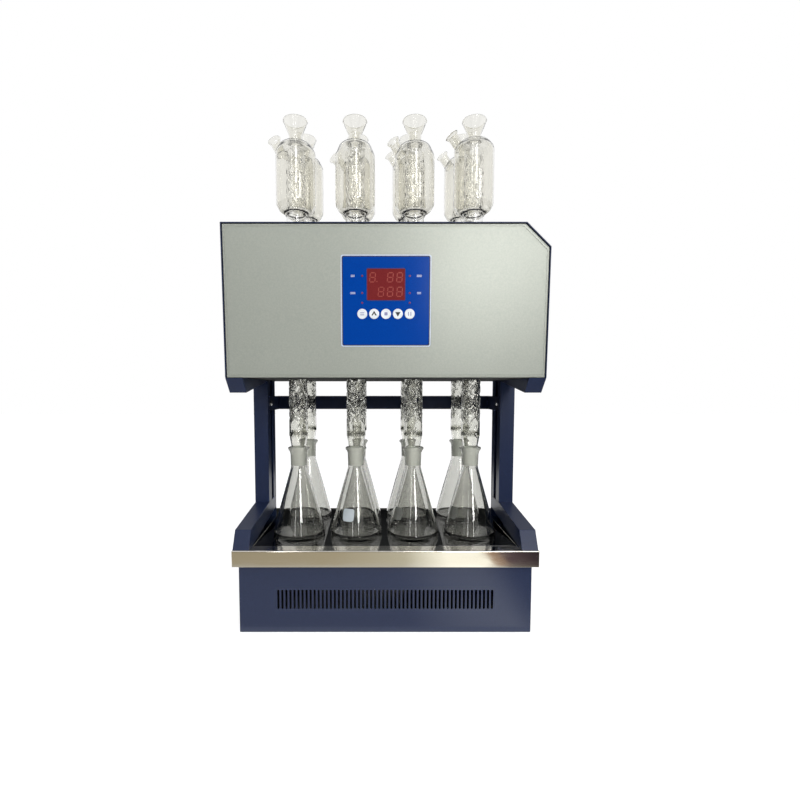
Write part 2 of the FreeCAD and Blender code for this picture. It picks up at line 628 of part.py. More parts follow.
def make_inlet():
    """Three-pin mains inlet in the rear panel, its socket facing back."""
    body = new_body("mains_inlet", x="inlet_offset", y=CABINET_BACK, z="foot_height + inlet_rise")
    shroud = new_sketch(body, "XZ_Plane")
    rectangle(shroud, "inlet_width", "inlet_height")
    pad(body, shroud, "inlet_depth")
    flange = new_sketch(body, "XZ_Plane")
    rectangle(flange, "inlet_width + 2 * inlet_flange", "inlet_height + 2 * inlet_flange")
    pad(body, flange, "inlet_flange_thickness", reverse=True)
    socket = new_sketch(body, "XZ_Plane", "-inlet_flange_thickness - overrun")
    rectangle(socket, "inlet_width - 2 * inlet_wall", "inlet_height - 2 * inlet_wall")
    pocket(body, socket, "inlet_flange_thickness + overrun + inlet_depth - inlet_wall", reverse=True)
    pins = new_sketch(body, "XZ_Plane", "inlet_depth - inlet_wall")
    for x, z in (("-pin_spacing", "-pin_width / 2"), ("pin_spacing", "-pin_width / 2"), ("0", "pin_width / 2")):
        rectangle(pins, "pin_thickness", "pin_width", x, z)
    pad(body, pins, "pin_length", reverse=True)


def make_switch():
    """Switch frame in the rear panel, and the rocker on its pivots, tilted to its off stop."""
    frame = new_body("switch_frame", x="switch_offset", y=CABINET_BACK, z="foot_height + inlet_rise")
    sleeve = new_sketch(frame, "XZ_Plane")
    rectangle(sleeve, "switch_width + 2 * switch_wall", "switch_height + 2 * switch_wall")
    pad(frame, sleeve, "switch_depth")
    bezel = new_sketch(frame, "XZ_Plane")
    rectangle(bezel, "switch_width + 4 * switch_wall", "switch_height + 4 * switch_wall")
    pad(frame, bezel, "switch_bezel", reverse=True)
    well = new_sketch(frame, "XZ_Plane", "-switch_bezel - overrun")
    rectangle(well, "switch_width", "switch_height")
    pocket(frame, well, "switch_bezel + overrun + switch_depth - switch_wall", reverse=True)
    seats = new_sketch(frame, "YZ_Plane")
    circle(seats, "rocker_pivot_radius + rocker_pivot_fit", "-rocker_thickness / 2")
    pocket(frame, seats, "switch_width + 2 * (rocker_pivot_reach + rocker_pivot_end_gap)", midplane=True)
    rocker = new_body("power_rocker", x="switch_offset", y=f"{CABINET_BACK} - rocker_thickness / 2",
                      z="foot_height + inlet_rise")
    rocker.Placement.Rotation = Rotation(Vector(1, 0, 0), 1)
    bind(rocker, Placement__Rotation__Angle="rocker_tilt")
    side = new_sketch(rocker, "YZ_Plane")
    half = "(switch_height / 2 - rocker_fit) * cos(rocker_tilt)"
    face = "(rocker_thickness / 2 + switch_bezel)"
    outline(side, [("-rocker_thickness / 2", f"-{half} * 0.7"), (f"{face} + rocker_dish", f"-({half} - rocker_dish)"),
                   (face, "0"), (f"{face} + rocker_dish", f"{half} - rocker_dish"),
                   ("-rocker_thickness / 2", f"{half} * 0.7")])
    pad(rocker, side, "switch_width - 2 * rocker_fit", midplane=True)
    pivot = new_sketch(rocker, "YZ_Plane")
    circle(pivot, "rocker_pivot_radius")
    pad(rocker, pivot, "switch_width + 2 * rocker_pivot_reach", midplane=True)


# Side frames


def side_pad(body, side, corners):
    """Fills a side frame's width with an outline drawn in depth and height."""
    start = f"-{FRAME_OUTER}" if side == "left" else FRAME_INNER
    profile = new_sketch(body, "YZ_Plane", start)
    outline(profile, corners)
    return pad(body, profile, "frame_depth")


def make_lower_arm(side):
    """Folded box arm on the tray, open below, with a wedge cut from its inner wall."""
    body = new_body(f"{side}_lower_arm", y=FRONT, z=PLATE_TOP)
    back = "(column_setback + column_depth)"
    side_pad(body, side, [("arm_foot_setback", "0"), ("arm_toe_setback", "arm_toe_height"),
                          ("column_setback", "arm_shoulder_height"), (back, "arm_shoulder_height"), (back, "0")])
    start = f"-{FRAME_OUTER} + frame_wall" if side == "left" else f"{FRAME_INNER} + frame_wall"
    hollow = new_sketch(body, "YZ_Plane", start)
    outline(hollow, [("arm_foot_setback + 1.2 * frame_wall", "0"),
                     ("arm_toe_setback + frame_wall", "arm_toe_height - frame_wall"),
                     ("column_setback", "arm_shoulder_height - frame_wall"),
                     (f"{back} - frame_wall", "arm_shoulder_height - frame_wall"), (f"{back} - frame_wall", "0")])
    pocket(body, hollow, "frame_depth - 2 * frame_wall", reverse=True)
    inner = f"-{FRAME_INNER} - 2 * frame_wall" if side == "left" else f"{FRAME_INNER} - frame_wall"
    wedge = new_sketch(body, "YZ_Plane", inner)
    outline(wedge, [("plate_front_margin", "0"), (f"{back} - 2 * frame_wall", "arm_relief_rise"),
                    (f"{back} - 2 * frame_wall", "0")])
    pocket(body, wedge, "3 * frame_wall", reverse=True)


def make_column(side):
    """Lipped channel, open inwards between its two returns."""
    body = new_body(f"{side}_column", y=COLUMN_FRONT, z=COLUMN_FOOT)
    sign = -1 if side == "left" else 1
    plan = new_sketch(body, "XY_Plane")
    corners = [(FRAME_INNER, "0"), (FRAME_OUTER, "0"), (FRAME_OUTER, "column_depth"), (FRAME_INNER, "column_depth"),
               (FRAME_INNER, "column_depth - column_return"),
               (f"{FRAME_INNER} + frame_wall", "column_depth - column_return"),
               (f"{FRAME_INNER} + frame_wall", "column_depth - frame_wall"),
               (f"{FRAME_OUTER} - frame_wall", "column_depth - frame_wall"),
               (f"{FRAME_OUTER} - frame_wall", "frame_wall"), (f"{FRAME_INNER} + frame_wall", "frame_wall"),
               (f"{FRAME_INNER} + frame_wall", "column_return"), (FRAME_INNER, "column_return")]
    outline(plan, [(f"{sign} * ({x})", y) for x, y in corners])
    pad(body, plan, f"{HEAD_FOOT} - {COLUMN_FOOT}")
    hole = new_sketch(body, "YZ_Plane", f"{sign} * {FRAME_INNER}")
    circle(hole, "screw_radius + screw_fit", "crossbar_screw_setback - column_setback",
           f"{CROSSBAR_FOOT} + crossbar_height / 2 - {COLUMN_FOOT}")
    pocket(body, hole, "4 * frame_wall", midplane=True)


def make_upper_arm(side):
    """Wedge-shaped bracket between the column and the head, its front leaning out."""
    body = new_body(f"{side}_upper_arm", y=FRONT, z=HEAD_FOOT)
    side_pad(body, side, [("-head_overhang_bottom", "0"), ("upper_arm_setback", "-upper_arm_drop"),
                          ("column_setback", "-upper_arm_heel"), ("column_setback", "0")])
    start = f"-{FRAME_OUTER} + frame_wall" if side == "left" else f"{FRAME_INNER} + frame_wall"
    hollow = new_sketch(body, "YZ_Plane", start)
    slope = "(upper_arm_drop - upper_arm_heel) / (column_setback - upper_arm_setback)"
    reach = "(column_setback - 3 * frame_wall)"
    outline(hollow, [("-head_overhang_bottom + 2 * frame_wall", "-frame_wall"),
                     ("upper_arm_setback + frame_wall / 2", "-(upper_arm_drop - 1.6 * frame_wall)"),
                     (f"{reach} * 0.7", f"-(upper_arm_drop - ({reach} * 0.7 - upper_arm_setback) * {slope}"
                                        " - 1.6 * frame_wall)"),
                     (f"{reach} * 0.7", "-frame_wall")])
    pocket(body, hollow, "frame_depth - 2 * frame_wall", reverse=True)


def make_crossbar():
    """Strap behind the back row, its ends folded forward along the columns."""
    body = new_body("crossbar", y=FRONT, z=CROSSBAR_FOOT)
    plan = new_sketch(body, "XY_Plane")
    inn = f"({FRAME_INNER} - crossbar_thickness)"
    front = "(column_setback + frame_wall)"
    back = "(crossbar_setback + crossbar_thickness)"
    outline(plan, [(FRAME_INNER, front), (FRAME_INNER, back), (f"-{FRAME_INNER}", back), (f"-{FRAME_INNER}", front),
                   (f"-{inn}", front), (f"-{inn}", "crossbar_setback"), (inn, "crossbar_setback"), (inn, front)])
    pad(body, plan, "crossbar_height")
    hole = new_sketch(body, "YZ_Plane")
    circle(hole, "screw_radius + screw_fit", "crossbar_screw_setback", "crossbar_height / 2")
    pocket(body, hole, "frame_width", midplane=True)
    screws = []
    height = f"{CROSSBAR_FOOT} + crossbar_height / 2"
    depth = f"{FRONT} + crossbar_screw_setback"
    for sign in (-1, 1):
        outward = Vector(sign, 0, 0)
        seat = f"{sign} * ({FRAME_INNER} - crossbar_thickness)"
        head = f"{sign} * ({FRAME_INNER} - crossbar_thickness - screw_head_height)"
        screw = doc.addObject("Part::Fuse", "crossbar_screw")
        screw.Base = rod("screw_shank", "screw_radius", "crossbar_thickness + 2 * frame_wall", seat, depth, height,
                         outward)
        screw.Tool = rod("screw_head", "screw_head_radius", "screw_head_height", head, depth, height, outward)
        screws.append(screw)
    group("crossbar_screws", screws)


# Head


def head_outline(inset):
    """Front view of the head drawn in by a distance, with its cut upper right corner."""
    half = f"(frame_width / 2 - ({inset}))"
    top = f"(head_height - ({inset}))"
    run = f"(head_chamfer_width - 0.4 * ({inset}))"
    fall = f"(head_chamfer_height - 0.4 * ({inset}))"
    return [(f"-{half}", top), (f"{half} - {run}", top), (half, f"{top} - {fall}")]


def make_head_shell():
    """Sides and top in one folded sheet, its front edge leaning forward."""
    body = new_body("head_shell", z=HEAD_FOOT)
    length = f"({HEAD_BACK} - {FRONT} + head_overhang_top)"
    front = new_sketch(body, "XZ_Plane", f"-{HEAD_BACK}")
    inner = head_outline("frame_wall")
    inner_half = "(frame_width / 2 - frame_wall)"
    outline(front, [("-frame_width / 2", "0")] + head_outline("0") + [("frame_width / 2", "0"), (inner_half, "0")]
            + inner[::-1] + [(f"-{inner_half}", "0")])
    pad(body, front, length)
    lean = new_sketch(body, "YZ_Plane")
    outline(lean, [(f"{FRONT} - head_overhang_top - overrun", "-overrun"),
                   (f"{HEAD_FRONT} + overrun * (head_overhang_top - head_overhang_bottom) / head_height", "-overrun"),
                   (f"{FRONT} - head_overhang_top", "head_height"),
                   (f"{FRONT} - head_overhang_top - overrun", "head_height")])
    pocket(body, lean, "frame_width + 2 * overrun", midplane=True)
    holes = new_sketch(body, "XY_Plane", "head_height + overrun")
    tube_holes(holes)
    pocket(body, holes, "frame_wall + 2 * overrun")


def make_head_floor():
    """Underside of the head with the openings for the condensers."""
    body = new_body("head_floor", z=HEAD_FOOT)
    plan = new_sketch(body, "XY_Plane")
    half = "(frame_width / 2 - frame_wall)"
    front = f"({HEAD_FRONT} + panel_recess + panel_flange)"
    back = f"({HEAD_BACK} - frame_wall)"
    outline(plan, [(f"-{half}", front), (half, front), (half, back), (f"-{half}", back)])
    tube_holes(plan)
    pad(body, plan, "frame_wall")


def make_head_back():
    """Back of the head, slotted behind each fan."""
    body = new_body("head_back_panel", y=HEAD_BACK, z=HEAD_FOOT)
    face = new_sketch(body, "XZ_Plane")
    inner = head_outline("frame_wall")
    half = "(frame_width / 2 - frame_wall)"
    outline(face, [(f"-{half}", "0")] + inner + [(half, "0")])
    pad(body, face, "frame_wall")
    slots = new_sketch(body, "XZ_Plane", "-overrun")
    for side in (-1, 1):
        for step in range(GRILLE_SLOTS):
            offset = f"({step - (GRILLE_SLOTS - 1) / 2} * grille_pitch)"
            chord = f"(2 * sqrt(fan_bore ^ 2 - {offset} ^ 2) - grille_slot)"
            rectangle(slots, chord, "grille_slot", f"{side} * place_pitch", f"head_height / 2 + {offset}")
    pocket(body, slots, "frame_wall + 2 * overrun", reverse=True)


def lean_forward(body):
    """Sets a body up on the leaning front: local X across, Y inwards, Z up the panel."""
    place(body, "0", HEAD_FRONT, HEAD_FOOT)
    body.Placement.Rotation = Rotation(Vector(1, 0, 0), 1)
    bind(body, Placement__Rotation__Angle=HEAD_LEAN)


PANEL_FACE = "panel_recess"
PANEL_BACK = "(panel_recess + panel_thickness)"
PANEL_MIDDLE = "(head_height / 2)"


def make_front_panel():
    """Light inset front with openings for display and keys, and a flange at its foot."""
    body = new_body("head_front_panel")
    lean_forward(body)
    face = new_sketch(body, "XZ_Plane", f"-{PANEL_FACE}")
    half = "(frame_width / 2 - frame_wall - panel_gap)"
    outline(face, [(f"-{half}", "0")] + head_outline("frame_wall + panel_gap") + [(half, "0")])
    pad(body, face, "panel_thickness", reverse=True)
    flange = new_sketch(body, "XZ_Plane", f"-{PANEL_FACE}")
    outline(flange, [(f"-{half}", "0"), (half, "0"), (half, "panel_thickness"), (f"-{half}", "panel_thickness")])
    pad(body, flange, "panel_flange - panel_thickness", reverse=True)
    openings = new_sketch(body, "XZ_Plane", f"-{PANEL_BACK} - overrun")
    rectangle(openings, "window_width - 2 * window_seat", "window_height - 2 * window_seat", "0",
              f"{PANEL_MIDDLE} + window_rise")
    for step in range(BUTTONS):
        circle(openings, "button_radius + button_fit", button_x(step), f"{PANEL_MIDDLE} - button_drop")
    pocket(body, openings, "panel_thickness + 2 * overrun", reverse=True)


def button_x(step):
    """Distance of a key from the middle, counted from the left."""
    return f"{step - (BUTTONS - 1) / 2} * button_pitch"


def led_places():
    """Places of the six indicators, in pairs beside the window."""
    rises = ("led_rise_top", "led_rise_mid", "-led_drop_low")
    return [(f"{side} * led_offset", f"{PANEL_MIDDLE} + {rise}") for rise in rises for side in (-1, 1)]


def make_overlay():
    """Blue sheet on the panel, open round the window, the keys and the indicators."""
    body = new_body("control_overlay")
    lean_forward(body)
    face = new_sketch(body, "XZ_Plane", f"-{PANEL_FACE}")
    rectangle(face, "overlay_side", "overlay_side", "0", PANEL_MIDDLE)
    rectangle(face, "window_width + 2 * window_fit", "window_height + 2 * window_fit", "0",
              f"{PANEL_MIDDLE} + window_rise")
    for step in range(BUTTONS):
        circle(face, "button_radius + button_fit", button_x(step), f"{PANEL_MIDDLE} - button_drop")
    pad(body, face, "overlay_thickness")


def make_window():
    body = new_body("display_window")
    lean_forward(body)
    face = new_sketch(body, "XZ_Plane", f"-{PANEL_FACE}")
    rectangle(face, "window_width", "window_height", "0", f"{PANEL_MIDDLE} + window_rise")
    pad(body, face, "window_thickness")


def panel_post(label, radius, length, x, depth, z, square=False):
    """A round or square post that stands forward from a depth behind the panel's edge."""
    body = new_body(label)
    lean_forward(body)
    section = new_sketch(body, "XZ_Plane", f"-({depth})")
    if square:
        rectangle(section, f"2 * {radius}", f"2 * {radius}", x, z)
    else:
        circle(section, radius, x, z)
    pad(body, section, length)
    return body


def make_buttons():
    """Five keys, each a chamfered cap on a stem that ends just short of its switch."""
    for step in range(BUTTONS):
        name = BUTTON_NAMES[step]
        height = f"{PANEL_MIDDLE} - button_drop"
        stem_back = "(panel_recess + panel_thickness + board_gap - tact_height - button_travel - button_fit)"
        front = "(overlay_thickness + button_proud - panel_recess)"
        body = new_body(name)
        lean_forward(body)
        cap = new_sketch(body, "XZ_Plane", f"{front} - button_edge")
        circle(cap, "button_radius", button_x(step), height)
        pad(body, cap, f"{front} - button_edge + panel_recess", reverse=True)
        stem = new_sketch(body, "XZ_Plane", "-panel_recess")
        circle(stem, "tact_side / 2", button_x(step), height)
        pad(body, stem, f"{stem_back} - panel_recess", reverse=True)
        edge = new_sketch(body, "XZ_Plane", f"{front} - button_edge")
        circle(edge, "button_radius", button_x(step), height)
        rounded = pad(body, edge, "button_edge")
        rounded.TaperAngle = -45


def make_control_board():
    """Board behind the panel on four posts, with the display and the key switches."""
    board_front = "(panel_recess + panel_thickness + board_gap)"
    body = new_body("control_board")
    lean_forward(body)
    face = new_sketch(body, "XZ_Plane", f"-{board_front}")
    rectangle(face, "board_side", "board_side", "0", PANEL_MIDDLE)
    pad(body, face, "board_thickness", reverse=True)
    reach = "(board_side / 2 - standoff_inset)"
    posts = [panel_post("board_post", "standoff_radius", "board_gap", f"{a} * {reach}", board_front,
                        f"{PANEL_MIDDLE} + {b} * {reach}", square=True) for a in (-1, 1) for b in (-1, 1)]
    group("board_posts", posts)
    display = new_body("display_module")
    lean_forward(display)
    front = new_sketch(display, "XZ_Plane", f"-{board_front}")
    rectangle(front, "display_width", "display_height", "0", f"{PANEL_MIDDLE} + window_rise")
    pad(display, front, "board_gap + panel_thickness - window_fit")
    switches = []
    for step in range(BUTTONS):
        switch = new_body("key_switch")
        lean_forward(switch)
        base = new_sketch(switch, "XZ_Plane", f"-{board_front}")
        rectangle(base, "tact_side", "tact_side", button_x(step), f"{PANEL_MIDDLE} - button_drop")
        pad(switch, base, "tact_height")
        switches.append(switch)
    group("key_switches", switches)


def make_leds():
    lens_back = f"({PANEL_FACE} - overlay_thickness)"
    group("indicator_lamps", [panel_post("lamp", "led_radius", "led_proud", x, lens_back, z)
                              for x, z in led_places()])


def make_fan(side):
    """Axial fan on the back panel: duct with struts, motor plate and shaft, and its rotor."""
    sign = -1 if side == "left" else 1
    axis_x = f"{sign} * place_pitch"
    frame = new_body(f"{side}_fan_frame", axis_x, FAN_BACK, FAN_AXIS_HEIGHT)
    duct = new_sketch(frame, "XZ_Plane")
    rectangle(duct, "fan_side", "fan_side")
    circle(duct, "fan_bore")
    pad(frame, duct, "fan_thickness")
    for width, height in (("2 * fan_bore + fan_plate", "fan_strut_width"),
                          ("fan_strut_width", "2 * fan_bore + fan_plate")):
        strut = new_sketch(frame, "XZ_Plane")
        rectangle(strut, width, height)
        pad(frame, strut, "fan_plate")
    motor = new_sketch(frame, "XZ_Plane")
    circle(motor, "fan_hub_radius")
    pad(frame, motor, "fan_plate")
    shaft = new_sketch(frame, "XZ_Plane")
    circle(shaft, "fan_shaft_radius")
    pad(frame, shaft, "fan_plate + fan_end_gap + fan_rotor_length")
    rotor = new_body(f"{side}_fan_rotor", axis_x, f"{FAN_BACK} - fan_plate - fan_end_gap", FAN_AXIS_HEIGHT)
    hub = new_sketch(rotor, "XZ_Plane")
    circle(hub, "fan_hub_radius")
    circle(hub, "fan_shaft_radius + fan_shaft_fit")
    pad(rotor, hub, "fan_rotor_length")
    blade = new_sketch(rotor, "YZ_Plane", "fan_hub_radius * 0.9")
    chord = "(fan_rotor_length * 0.5)"
    lean = "fan_blade_pitch"
    thick = "(fan_blade_thickness / 2)"
    middle = "(-fan_rotor_length / 2)"
    corners = []
    for along, across in ((-1, -1), (1, -1), (1, 1), (-1, 1)):
        corners.append((f"{middle} + {along} * {chord} * 0.9 * cos({lean}) - {across} * {thick} * sin({lean})",
                        f"{along} * {chord} * 0.9 * sin({lean}) + {across} * {thick} * cos({lean})"))
    outline(blade, corners)
    vane = pad(rotor, blade, "fan_bore - fan_tip_gap - fan_hub_radius * 0.9 - fan_blade_thickness")
    ring = rotor.newObject("PartDesign::PolarPattern", rotor.Name + "_blades")
    ring.Originals = [vane]
    ring.Axis = (hub, ["N_Axis"])
    ring.Angle = 360
    ring.Occurrences = FAN_BLADES
    rotor.Tip = ring


# Glassware


def make_flask(row, column, number):
    """Conical flask with a beaded rim and a ground socket, hollow."""
    body = new_body(f"flask_{number}", place_x(column), row_y(row), PLATE_TOP)
    wall = new_sketch(body, "XZ_Plane")
    shoulder = "(flask_height - neck_height)"
    socket_mouth = "(joint_radius + joint_fit)"
    socket_foot = f"({socket_mouth} - joint_slope_share * neck_height)"
    outline(wall, [("0", "0"), ("flask_radius - flask_heel", "0"), ("flask_radius", "flask_heel_height"),
                   ("neck_foot_radius", shoulder), ("neck_radius", "flask_height - rim_height"),
                   ("rim_radius", "flask_height"), (socket_mouth, "flask_height"), (socket_foot, shoulder),
                   ("flask_radius - 1.5 * flask_wall", "flask_floor"), ("0", "flask_floor")])
    turn(body, wall)


def make_condenser(row, column, number):
    """Blown condenser: ground cone, long tube, jacketed water bulb, filling arm and funnel."""
    body = new_body(f"condenser_{number}", place_x(column), row_y(row), PLATE_TOP)
    rise = "bulb_rise" if row == "front" else "(bulb_rise + back_row_rise)"
    cylinder_foot = f"({rise} + bulb_foot)"
    cylinder_top = f"({cylinder_foot} + bulb_length)"
    stem_foot = f"({cylinder_top} + bulb_shoulder)"
    stem_top = f"({stem_foot} + stem_length)"
    funnel_top = f"({stem_top} + funnel_height)"
    joint_foot = "(flask_height - joint_length)"
    taper_top = "(flask_height + taper_length)"
    wall = new_sketch(body, "XZ_Plane")
    outline(wall, [("core_bore", joint_foot), ("joint_radius - joint_slope_share * joint_length", joint_foot),
                   ("joint_radius", "flask_height"), ("tube_radius", taper_top), ("tube_radius", rise),
                   ("bulb_radius", cylinder_foot), ("bulb_radius", cylinder_top), ("stem_radius", stem_foot),
                   ("stem_radius", stem_top), ("funnel_radius", funnel_top),
                   ("funnel_radius - bulb_wall", funnel_top), ("core_bore", stem_top), ("core_bore", stem_foot),
                   ("tube_radius - tube_wall", cylinder_top), ("tube_radius - tube_wall", taper_top)])
    turn(body, wall)
    # The filling arm stands on the shoulder, leaning out; the jacket is cut afterwards.
    for radius, start, length in (("filler_radius", "-filler_sink", "filler_sink + filler_length"),
                                  ("filler_rim", "filler_length - filler_rim_height", "filler_rim_height")):
        arm = new_sketch(body, "XY_Plane")
        set_on_arm(arm, cylinder_top, start)
        circle(arm, radius)
        pad(body, arm, length)
    jacket = new_sketch(body, "XZ_Plane")
    outline(jacket, [("tube_radius", f"{rise} + 1.5 * bulb_wall"),
                     ("bulb_radius - bulb_wall", cylinder_foot), ("bulb_radius - bulb_wall", cylinder_top),
                     ("stem_radius + bulb_wall / 2", f"{stem_foot} - 1.5 * bulb_wall"),
                     ("tube_radius", f"{cylinder_top} - bulb_wall")])
    turn(body, jacket, "PartDesign::Groove")
    bore = new_sketch(body, "XY_Plane")
    set_on_arm(bore, cylinder_top, "-filler_sink / 2")
    circle(bore, "filler_radius - bulb_wall")
    pocket(body, bore, "filler_sink + filler_length + overrun", reverse=True)
    turn_arm = CONDENSER_TURNS[number - 1]
    body.Placement.Rotation = Rotation(Vector(0, 0, 1), turn_arm)


def set_on_arm(sketch, shoulder, along):
    """Lays a sketch across the filling arm, at a distance along it from the shoulder."""
    sketch.AttachmentOffset = Placement(Vector(0, 0, 0), Rotation(Vector(0, -1, 0), 1))
    bind(sketch, AttachmentOffset__Rotation__Angle="filler_tilt",
         AttachmentOffset__Base__x=f"-filler_offset - ({along}) * sin(filler_tilt)",
         AttachmentOffset__Base__z=f"{shoulder} + filler_rise + ({along}) * cos(filler_tilt)")


make_feet()
make_cabinet()
make_floor()
make_rear_panel()
make_tray()
make_plate()
make_heater_pan()
make_insulation()
make_heating()
make_power_parts()
make_inlet()
make_switch()
for side in ("left", "right"):
    make_lower_arm(side)
    make_column(side)
    make_upper_arm(side)
    make_fan(side)
make_crossbar()
make_head_shell()
make_head_floor()
make_head_back()
make_front_panel()
make_overlay()
make_window()
make_buttons()
make_control_board()
make_leds()
for index in range(len(ROWS) * PLACES_ACROSS):
    row, column = ROWS[index // PLACES_ACROSS], index % PLACES_ACROSS
    make_flask(row, column, index + 1)
    make_condenser(row, column, index + 1)
doc.recompute()

def is_node(thing):
    """Whether a document object is a sub-part of its own, and not inside another."""
    kinds = ("PartDesign::Body", "Part::Compound", "Part::Box", "Part::Cylinder")
    return thing.TypeId in kinds and thing.Label.rstrip("0123456789") not in INNER_LABELS


faults = [thing.Label for thing in doc.Objects if "Invalid" in thing.State or "Error" in thing.State]
nodes = [thing for thing in doc.Objects if is_node(thing)]
faults += [node.Label for node in nodes if node.Shape.isNull() or not node.Shape.isValid()]
if faults:
    raise RuntimeError("not built: " + ", ".join(faults))
os.makedirs("parts", exist_ok=True)
for node in nodes:
    node.Shape.exportStep("parts/%s.step" % node.Label)
print(len(nodes), "sub-parts written")
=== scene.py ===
import math
import random

import bmesh
import bpy
from mathutils import Matrix, Vector


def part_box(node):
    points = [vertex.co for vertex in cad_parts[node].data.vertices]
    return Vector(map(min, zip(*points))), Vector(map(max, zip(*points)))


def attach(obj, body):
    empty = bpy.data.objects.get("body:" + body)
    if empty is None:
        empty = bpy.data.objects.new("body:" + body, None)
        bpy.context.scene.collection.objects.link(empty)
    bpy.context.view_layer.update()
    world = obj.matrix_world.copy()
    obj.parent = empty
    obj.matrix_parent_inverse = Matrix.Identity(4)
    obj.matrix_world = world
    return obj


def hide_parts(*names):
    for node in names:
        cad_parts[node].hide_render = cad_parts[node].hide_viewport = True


bl_info = {
    "name": "Block Digester",
    "version": (1, 0, 0),
    "blender": (4, 5, 0),
    "location": "3D View > Sidebar > Digester",
    "description": "Dresses the frame of a block digester with its glassware, sheet metal and controls",
    "category": "Object",
}

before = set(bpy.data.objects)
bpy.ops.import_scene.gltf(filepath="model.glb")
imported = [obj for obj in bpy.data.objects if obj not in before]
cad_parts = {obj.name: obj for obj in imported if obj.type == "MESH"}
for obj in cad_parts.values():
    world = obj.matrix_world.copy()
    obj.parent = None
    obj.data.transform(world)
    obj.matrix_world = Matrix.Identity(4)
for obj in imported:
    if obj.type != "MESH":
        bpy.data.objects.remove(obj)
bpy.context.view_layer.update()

MM = 0.001
GLASS_COUNT = 8
# Heights of the indicator lamps, in mm from the middle of the overlay.
LAMP_RISES = (33.7, 10.8, -2.4)
# A flask's straight side, in mm: its radius at the neck, and the heights at the neck and the widest part.
FLASK_NECK, FLASK_NECK_FOOT, FLASK_HEEL = 12.9, 110, 4.5
# Between these heights, in metres, the tubes' glass turns from a greyer tint below to clear above.
LOW_TINT_HEIGHTS = (0.41, 0.58)
# Height of the stage's lying cards, clear of the floor, in metres.
CARD_RISE = 0.004


def corner(node, which, axis):
    """One coordinate, in metres, of a frame node's box: which is 0 for low and 1 for high."""
    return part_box(node)[which]["xyz".index(axis)]


PLATE_TOP = corner("glass_ceramic_plate", 1, "z")
TRAY_FRONT = corner("steel_tray", 0, "y")
HEAD_FOOT = corner("head_shell", 0, "z")
HEAD_TOP = corner("head_shell", 1, "z")
HALF_HEAD = corner("head_shell", 1, "x")
HEAD_OVERHANG_AT_FOOT = 13.7 * MM
HEAD_FRONT_LOW = TRAY_FRONT - HEAD_OVERHANG_AT_FOOT
HEAD_FRONT_HIGH = corner("head_shell", 0, "y")
LEAN = math.atan2(HEAD_FRONT_LOW - HEAD_FRONT_HIGH, HEAD_TOP - HEAD_FOOT)


# Small tools


def linear(code):
    """An sRGB hex colour as linear red, green, blue and alpha."""
    parts = [int(code[i:i + 2], 16) / 255 for i in (1, 3, 5)]
    return tuple(c / 12.92 if c <= 0.04045 else ((c + 0.055) / 1.055) ** 2.4 for c in parts) + (1.0,)


def add_node(tree, kind, settings=None, inputs=None):
    """Adds a shader node. An input holds a value, or another node's output to link."""
    made = tree.nodes.new(kind)
    for name, value in (settings or {}).items():
        setattr(made, name, value)
    for name, value in (inputs or {}).items():
        if isinstance(value, bpy.types.NodeSocket):
            tree.links.new(value, made.inputs[name])
        else:
            made.inputs[name].default_value = value
    return made


def new_material(name, **sockets):
    """A Principled material with plain values set on its own sockets."""
    material = bpy.data.materials.new(name)
    material.use_nodes = True
    shader = material.node_tree.nodes["Principled BSDF"]
    for key, value in sockets.items():
        shader.inputs[key.replace("_", " ")].default_value = value
    return material, material.node_tree, shader


def grain(tree, size_mm, detail=2.0, stretch=(1, 1, 1), **inputs):
    """A noise, 0 to 1, whose features are size_mm across, laid out in the object's own metres."""
    place = add_node(tree, "ShaderNodeTexCoord")
    scale = add_node(tree, "ShaderNodeMapping", inputs={"Vector": place.outputs["Object"], "Scale": stretch})
    noise = add_node(tree, "ShaderNodeTexNoise", inputs={"Vector": scale.outputs["Vector"], "Detail": detail,
                                                         "Scale": 1.0 / (size_mm * MM), **inputs})
    return noise.outputs["Fac"]


def between(tree, factor, low, high, start=0.35, stop=0.65):
    """A value or colour that runs from low to high as factor runs from start to stop."""
    if isinstance(low, tuple):
        ramp = add_node(tree, "ShaderNodeMapRange", {"clamp": True},
                        {"Value": factor, "From Min": start, "From Max": stop})
        mix = add_node(tree, "ShaderNodeMix", {"data_type": "RGBA"}, {0: ramp.outputs["Result"], 6: low, 7: high})
        return mix.outputs[2]
    ramp = add_node(tree, "ShaderNodeMapRange", {"clamp": True},
                    {"Value": factor, "From Min": start, "From Max": stop, "To Min": low, "To Max": high})
    return ramp.outputs["Result"]


def relief(tree, shader, height, depth_mm, strength=1.0):
    """Bumps the shader's surface by height, depth_mm from its lowest to its highest."""
    bump = add_node(tree, "ShaderNodeBump", inputs={"Strength": strength, "Distance": depth_mm * MM,
                                                    "Height": height})
    tree.links.new(bump.outputs["Normal"], shader.inputs["Normal"])


def feed(tree, value, shader, socket):
    """Links a varying value or colour to one of the shader's sockets."""
    tree.links.new(value, shader.inputs[socket])


def make_object(name, mesh, materials, smooth_angle=35.0):
    """An object in the scene with its materials, shaded smooth up to an angle."""
    for material in materials:
        mesh.materials.append(material)
    mesh.polygons.foreach_set("use_smooth", [True] * len(mesh.polygons))
    mesh.set_sharp_from_angle(angle=math.radians(smooth_angle))
    thing = bpy.data.objects.new(name, mesh)
    bpy.context.scene.collection.objects.link(thing)
    return thing


def from_bmesh(name, bm, materials, smooth_angle=35.0):
    """Turns a bmesh into an object, with its faces turned outwards."""
    bmesh.ops.recalc_face_normals(bm, faces=bm.faces)
    mesh = bpy.data.meshes.new(name)
    bm.to_mesh(mesh)
    bm.free()
    return make_object(name, mesh, materials, smooth_angle)


